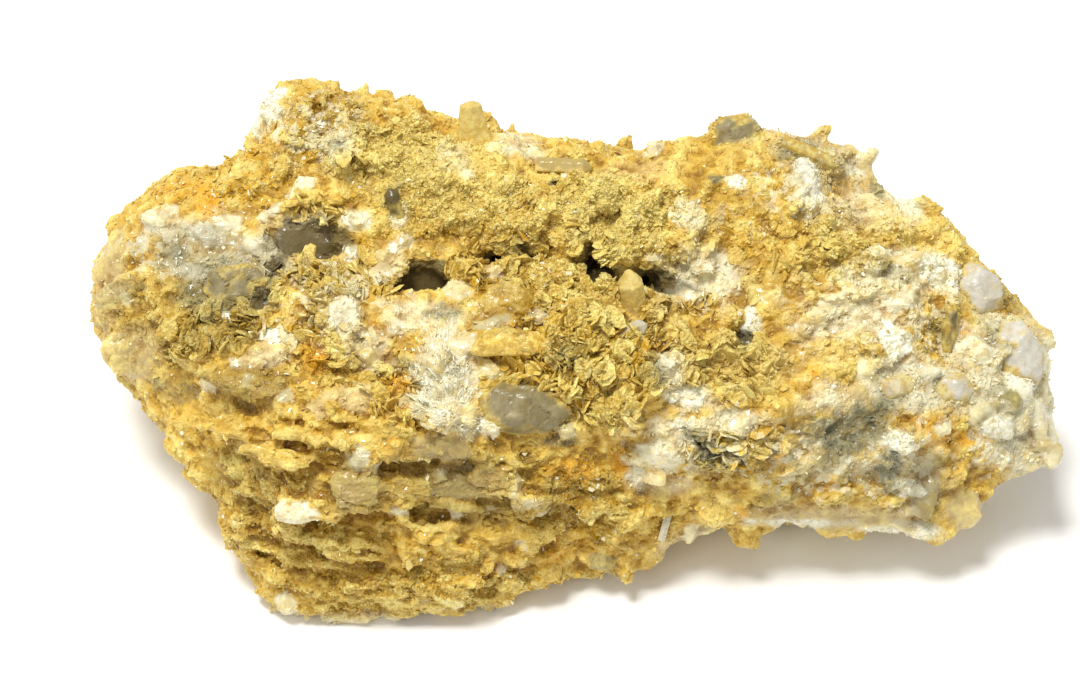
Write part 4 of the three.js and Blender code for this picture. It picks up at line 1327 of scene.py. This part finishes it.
# shade: how strongly the darker grains and the painted crease shade show
rockLook = {"roughness": 0.6, "shine": 0.3, "translucence": 0.25, "shade": 0.85}
grainLook = {"roughness": 0.45, "shine": 0.25, "translucence": 0.3, "shade": 0.35}
rockFinish = stoneFinish("magnesiteRock", rockLook)
grainFinish = stoneFinish("magnesiteCrystal", grainLook)
talcLook = {
    "low": tone(224, 214, 168),
    "high": tone(250, 246, 220),
    "stain": tone(234, 212, 136),
    "grey": tone(146, 144, 122),
    "coat": 0.2,
    "translucence": 0.3,
}


def talcFinish():
    finish = Finish("talcPearl")
    own, grey = finish.attributes("own", "grey")
    colour = finish.mix(own.ramp(0.1, 0.9), talcLook["low"], talcLook["high"])
    colour = finish.mix(finish.speckle(2.2 * mm, 2).ramp(0.45, 0.65) * 0.7, colour, talcLook["stain"])
    colour = finish.mix(grey * 0.8, colour, talcLook["grey"])
    bumps = finish.bump(finish.speckle(0.5 * mm, 2), 0.25, 0.2 * mm)
    return finish.set(Base_Color=colour, Roughness=0.25 + 0.25 * own, Normal=bumps,
                      Coat_Weight=talcLook["coat"], Coat_Roughness=0.2,
                      Subsurface_Weight=talcLook["translucence"], Subsurface_Radius=(1, 0.95, 0.85),
                      Subsurface_Scale=0.6 * mm)


def quartzFinish(name, look):
    finish = Finish(name)
    colour = tone(*look["colour"])
    milky = finish.speckle(2 * mm, 3).ramp(0.4, 0.7)
    rim = finish.attribute("rim")
    crumbs = finish.mix(finish.speckle(0.7 * mm, 2).ramp(0.4, 0.6), stoneTones["gold"], stoneTones["cream"])
    tint = finish.mix(rim * 0.85, finish.mix(milky * 0.7, colour, tone(*look["cloud"])), crumbs)
    height = finish.speckle(0.9 * mm, 3) + rim * finish.speckle(0.3 * mm, 3, 0.7) * 4
    tinted = {"Color": colour, "Density": look["density"]}
    inside = finish.node("ShaderNodeVolumeAbsorption", {}, tinted, output="Volume")
    finish.tree.links.new(inside.socket, finish.tree.nodes["Material Output"].inputs["Volume"])
    return finish.set(Base_Color=tint, Roughness=0.25 + 0.25 * milky + 0.4 * rim, IOR=1.544,
                      Normal=finish.bump(height, 0.3, 0.2 * mm), Transmission_Weight=look["through"])


talcWhite = talcFinish()

# pieces out of arrays


def pieceFrom(name, corners, faces, tones, material):
    mesh = bpy.data.meshes.new(name)
    mesh.vertices.add(len(corners))
    mesh.vertices.foreach_set("co", corners.astype(np.float32).ravel())
    mesh.loops.add(faces.size)
    mesh.loops.foreach_set("vertex_index", faces.astype(np.int32).ravel())
    mesh.polygons.add(len(faces))
    mesh.polygons.foreach_set("loop_start", np.arange(0, faces.size, faces.shape[1], dtype=np.int32))
    mesh.update(calc_edges=True)
    mesh.shade_flat()
    setTones(mesh, tones)
    return dress(name, mesh, material)


def dress(name, mesh, material):
    mesh.materials.clear()
    mesh.materials.append(material)
    piece = added(name, mesh)
    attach(piece, "root")
    return piece


def ring(sides, radius, height=0.0, turn=0.0):
    angles = turn + np.arange(sides) * 2 * math.pi / sides
    return np.stack([radius * np.cos(angles), radius * np.sin(angles), np.full(sides, height)], 1)


def plateShape(sides, thickness):
    # a rim of corners with a point on each side of it
    corners = np.concatenate([ring(sides, 1), [[0, 0, thickness], [0, 0, -thickness]]])
    faces = [(n, (n + 1) % sides, sides) for n in range(sides)]
    faces += [((n + 1) % sides, n, sides + 1) for n in range(sides)]
    return corners, np.array(faces)


def bluntShape(sides, thickness):
    # a plate with a rim round it
    corners = np.concatenate([ring(sides, 0.9, thickness), ring(sides, 1, -thickness, 0.2)])
    faces = [(0, n, n + 1) for n in range(1, sides - 1)]
    faces += [(sides, sides + n + 1, sides + n) for n in range(1, sides - 1)]
    for n in range(sides):
        after = (n + 1) % sides
        faces += [(n, sides + n, sides + after), (n, sides + after, after)]
    return corners, np.array(faces)


def rhombShape():
    corners = np.array([(x, y, z) for x in (-1, 1) for y in (-1, 1) for z in (-1, 1)], float)
    corners[:, 0] += 0.3 * corners[:, 2]
    corners[:, 1] += 0.2 * corners[:, 2]
    quads = [(0, 1, 3, 2), (4, 6, 7, 5), (0, 4, 5, 1), (2, 3, 7, 6), (0, 2, 6, 4), (1, 5, 7, 3)]
    faces = [f for a, b, c, d in quads for f in ((a, b, c), (a, c, d))]
    return corners, np.array(faces)


# size: the smallest and largest radius, form: its share in each way, lift: how upright, loose: how unruly,
# combed: how far tresses of this many mm lie alike, few: how rare the large ones are, raise: above its seat
plainKind = {"pose": "stand", "loose": 1, "combed": 0, "tress": 5, "raise": 0, "uneven": 0.14, "few": 1.5}


def grow(name, look, surface, weight, material):
    # one joined mesh of many small crystals seated on a surface
    kind = {**plainKind, **look}
    random = np.random.default_rng(kind["seed"])
    count = kind["count"]
    seat, normal, own = seatsOn(surface, weight, count, random)
    corners, faces = kind["shape"]
    combing = kind["combed"]
    combed = np.stack([noise(seat, kind["tress"] * mm, kind["seed"] * 10 + n) for n in range(6)], 1)
    axis = normal * kind["lift"] + unit(random.normal(size=(count, 3))) * kind["loose"]
    axis = unit(axis + 3 * combing * combed[:, :3])
    side = unit(np.cross(axis, unit(random.normal(size=(count, 3)) + 6 * combing * combed[:, 3:])))
    if "spray" in kind:
        spread = unit(seat - np.array(placed(tree, *kind["spray"]))) + 0.22 * random.normal(size=(count, 3))
        side = unit(spread - axis * (spread * axis).sum(1, keepdims=True))
    third = np.cross(axis, side)
    axes = {"stand": (axis, side, third), "lie": (side, third, axis)}[kind["pose"]]
    least, most = kind["size"]
    size = least * (most / least) ** (random.random(count) ** kind["few"])
    scale = size[:, None] * np.array(kind["form"]) * (1 + 0.4 * (random.random((count, 3)) - 0.5))
    uneven = kind["uneven"] * random.normal(size=(count, len(corners), 3)) * (1, 1, 0.5)
    shape = (corners[None] + uneven) * scale[:, None]
    place = seat[:, None] + normal[:, None] * (kind["raise"] * size)[:, None, None]
    for n in range(3):
        place = place + shape[:, :, n, None] * axes[n][:, None]
    inside = ((place > boxLow + boxMargin / 2) & (place < boxHigh - boxMargin / 2)).all((1, 2))
    place = place[inside]
    allFaces = (faces[None] + np.arange(len(place))[:, None, None] * len(corners)).reshape(-1, 3)
    own["own"] = random.random(count)
    # the small crystals take less of the painted crease shade and ridge light
    own["cavity"] = own["cavity"] * 0.6
    own = {key: np.repeat(values[inside], len(corners)) for key, values in own.items()}
    piece = pieceFrom(name, place.reshape(-1, 3), allFaces, own, material)
    print(name, "has", len(place), "crystals and", len(allFaces), "triangles")
    return piece


rock = dress("magnesiteStone", stone, rockFinish)
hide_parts("magnesite_mass")

besideQuartz = smooth(1.6 * mm, 0.5 * mm, distancesTo(quartzTree, points))
shows = 0.2 + 0.8 * smooth(-0.25, 0.2, facing @ outward)  # full on the crystal face, little behind
shows *= 1 - 0.97 * patchValue(tree, keptClear, points, 0.1)
bare = (1 - 0.96 * tones["glass"]) * (1 - 0.9 * tones["deep"])
notTalc = np.clip(1 - 1.5 * tones["talc"], 0.05, 1)
stoneSurface = surfaceOf(points, facing, triangles, tones)
foot = smooth(4 * mm, 1.5 * mm, points[:, 2]) * smooth(-0.5, 0, facing @ outward)

plates = {
    "seed": 6, "count": 3600, "shape": bluntShape(8, 0.08), "size": (0.35 * mm, 1.7 * mm),
    "form": (1, 0.7, 1), "lift": 0.35, "loose": 0.6, "combed": 0.5, "tress": 3, "raise": 0.12, "uneven": 0.1,
    "few": 1.7,
}
plateShare = (tones["leafy"] ** 1.3 + tones["fringe"]) * notTalc * bare * shows
grow("magnesitePlates", plates, stoneSurface, plateShare, grainFinish)

leaves = {
    "seed": 1, "count": 7000, "shape": plateShape(6, 0.13), "size": (0.15 * mm, 0.75 * mm),
    "form": (1, 0.72, 1), "lift": 0.5, "loose": 0.7, "combed": 0.4, "tress": 3, "raise": 0.2,
}
leafShare = 0.04 + tones["leafy"] + 3 * tones["fringe"] + 0.2 * tones["ochre"] + 0.3 * foot
leafShare = leafShare * notTalc * (1 - 0.96 * tones["glass"]) * shows
grow("magnesiteLeaves", leaves, stoneSurface, leafShare, grainFinish)

crust = {
    "seed": 2, "count": 16500, "shape": rhombShape(), "size": (0.08 * mm, 0.27 * mm),
    "form": (1, 0.9, 0.7), "lift": 0.5, "raise": 0.1, "uneven": 0.1,
}
crustShare = (tones["druse"] + 0.04 + 0.3 * tones["leafy"]) * notTalc * bare * shows
crustShare = crustShare + 0.4 * besideQuartz * shows
grow("magnesiteDruse", crust, stoneSurface, crustShare, grainFinish)

sand = {
    "seed": 4, "count": 11000, "shape": rhombShape(), "pose": "lie", "size": (0.06 * mm, 0.22 * mm),
    "form": (1.2, 1, 0.55), "lift": 1.2, "raise": 0.05, "uneven": 0.12, "few": 2,
}
sandShare = (0.1 + 0.6 * tones["ochre"] + tones["ledge"] + foot) * notTalc * bare * shows
grow("magnesiteSand", sand, stoneSurface, sandShare, grainFinish)

talcLeaves = {
    "seed": 3, "count": 7000, "shape": plateShape(7, 0.09), "size": (0.12 * mm, 0.6 * mm),
    "form": (1, 0.45, 1), "lift": 0.3, "loose": 0.35, "combed": 0.5, "tress": 4, "few": 2,
}
talcShare = tones["talc"] ** 2.5 * bare * shows
talcPiece = grow("talcLeaves", talcLeaves, stoneSurface, talcShare, talcWhite)
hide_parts(*talcNodes)

fan = {
    "seed": 8, "count": 2600, "shape": plateShape(6, 0.06), "pose": "lie", "spray": (452, 420),
    "size": (0.2 * mm, 0.9 * mm), "form": (1, 0.17, 1), "lift": 1, "loose": 0.15,
}
fanShare = patchValue(tree, {"fan": whiteTalc["fan"], "foot": whiteTalc["fanFoot"]}, points) * bare * shows
grow("talcFan", fan, stoneSurface, fanShare, talcWhite)

glints = {
    "seed": 9, "count": 2200, "shape": plateShape(5, 0.12), "pose": "lie", "size": (0.12 * mm, 0.5 * mm),
    "form": (1, 0.7, 1), "lift": 1, "loose": 0.7, "raise": 0.25, "few": 2.5,
}
glintShare = 0.3 + tones["druse"] + tones["ochre"] + tones["mingled"] + 0.4 * tones["leafy"]
glintShare = glintShare * bare * shows
grow("talcGlints", glints, stoneSurface, glintShare, talcWhite)

# quartz

quartzLook = {
    "voxel": 0.32 * mm,
    "fineVoxel": 0.2 * mm,
    "bevel": 0.12 * mm,
    "grain": 2.6 * mm,
    "swell": 0.3,  # mm, so that each crystal meets its socket
    "sink": 0.5 * mm,
    "sunk": ["pale_near", "pale_far", "rear_blade", "skyline"],
    "worn": [(1.2 * mm, 0.05, 94), (0.5 * mm, 0.03, 95)],  # size, height in mm and seed
    "column": {"foot": 1.9, "drawnIn": 0.95, "end": 1},  # widths as shares, and the length of its ends in mm
}
# through: the share of light let through, density: of the tint within, facets: how broken the faces are
quartzKinds = {
    "clear": {"nodes": ["needle", "short"], "bevelled": True,
              "colour": (242, 238, 214), "cloud": (252, 246, 222), "through": 0.45, "density": 20},
    "dark": {"nodes": ["shard", "upper"],
             "colour": (104, 90, 48), "cloud": (130, 114, 66), "through": 0.2, "density": 400},
    "coated": {"nodes": ["centre", "column"],
               "colour": (198, 172, 96), "cloud": (226, 204, 134), "through": 0.05, "density": 200},
    "olive": {"nodes": ["skyline"],
              "colour": (178, 154, 84), "cloud": (200, 176, 104), "through": 0.1, "density": 200},
    "smoky": {"nodes": ["rear_blade"],
              "colour": (140, 124, 76), "cloud": (186, 166, 108), "through": 0.3, "density": 200},
    "pale": {"nodes": ["end", "pale_near", "pale_far", "right"], "facets": 0.2,
             "colour": (222, 216, 198), "cloud": (246, 243, 230), "through": 0.3, "density": 60},
    "grey": {"nodes": ["rear_lump", "slab", "left"], "facets": 0.8,
             "colour": (146, 132, 88), "cloud": (186, 172, 126), "through": 0.3, "density": 150},
}
quartzFinishes = {kind: quartzFinish("quartz" + kind.title(), look) for kind, look in quartzKinds.items()}


def quartzShape(node, look):
    mesh = solids[node].copy()
    if "bevelled" in look:
        mesh = changed(mesh, "BEVEL", {"width": quartzLook["bevel"], "segments": 1, "limit_method": "ANGLE"})
        mesh.shade_flat()
        return mesh
    broken = "facets" in look
    mesh = remeshed(mesh, quartzLook["voxel" if broken else "fineVoxel"])
    corners, facing = pointsOf(mesh), normalsOf(mesh)
    rough = layered(corners, quartzLook["worn"])
    if broken:
        grain = quartzLook["grain"]
        offset, numbers = grains(corners / grain, 91)
        rough = look["facets"] * (offset * (numbers - 0.5)).sum(1) + 0.25 * noise(corners, grain, 92)
        rough = rough + 0.08 * noise(corners, 0.7 * mm, 93) + quartzLook["swell"]
    movePoints(mesh, keptInBox(corners + facing * rough[:, None] * mm, boxMargin))
    return mesh


def tapered(corners):
    # broad at the foot and drawn in to the tip
    look = quartzLook["column"]
    onFace = faceCoordinates(corners)
    sideway, height = onFace[:, 0], onFace[:, 1]
    tip, root = height.max(), height.min()
    ends = sideway[height < root + look["end"]].mean(), sideway[height > tip - look["end"]].mean()
    axis = np.interp(height, (root, tip), ends)
    widen = look["foot"] - look["drawnIn"] * (height - root) / (tip - root)
    return corners + np.outer((sideway - axis) * (widen - 1) * mm, sideways)


def quartzPiece(node):
    name = node.removeprefix("quartz_")
    kind = next(kind for kind, look in quartzKinds.items() if name in look["nodes"])
    mesh = quartzShape(node, quartzKinds[kind])
    corners = pointsOf(mesh)
    if name in quartzLook["sunk"]:
        corners = corners - outward * quartzLook["sink"]
    if name == "column":
        corners = tapered(corners)
    movePoints(mesh, corners)
    height = distancesTo(tree, corners) / mm
    rim = smooth(1.1, 0.1, height + 0.6 * noise(corners, 0.9 * mm, 96))
    if kind == "coated":
        rim = np.maximum(rim, 0.5 + 0.4 * noise(corners, 0.7 * mm, 97))
    setTones(mesh, {"rim": rim})
    piece = dress("quartz" + name.title().replace("_", ""), mesh, quartzFinishes[kind])
    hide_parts(node)


for node in quartzNodes:
    quartzPiece(node)
faceCount = sum(len(o.data.polygons) for o in bpy.data.objects if o.type == "MESH")
print("crystals done:", faceCount, "faces in all")

# floor and light

studio = {
    "sky": 0.52,
    "lampSize": 0.3,
    "lamps": {"keyLight": ((-0.2, 0.02, 0.97), 9.5), "fillLight": ((-0.6, -0.7, 0.7), 1.2)},  # place, power
    "floor": 3,
    "paper": (tone(252, 251, 249), tone(246, 245, 242)),
}


def makeFloor():
    mesh = bpy.data.meshes.new("floor")
    half = studio["floor"]
    corners = [(-half, -half, 0), (half, -half, 0), (half, half, 0), (-half, half, 0)]
    mesh.from_pydata(corners, [], [(0, 1, 2, 3)])
    finish = Finish("paleFloor")
    colour = finish.mix(finish.speckle(4 * mm, 2) * 0.3, *studio["paper"])
    mesh.materials.append(finish.set(Base_Color=colour, Roughness=0.6))
    added("floor", mesh)


def makeLight(name, place, power):
    data = bpy.data.lights.new(name, "AREA")
    data.size = studio["lampSize"]
    data.energy = power
    lamp = added(name, data)
    lamp.location = place
    lamp.rotation_euler = (-Vector(place)).to_track_quat("-Z", "Y").to_euler()


makeFloor()
for name, (place, power) in studio["lamps"].items():
    makeLight(name, place, power)
world = bpy.data.worlds.new("studio")
world.use_nodes = True
world.node_tree.nodes["Background"].inputs["Color"].default_value = (1, 1, 1, 1)
world.node_tree.nodes["Background"].inputs["Strength"].default_value = studio["sky"]
bpy.context.scene.world = world
bpy.context.scene.view_settings.view_transform = "Standard"
print("studio set")
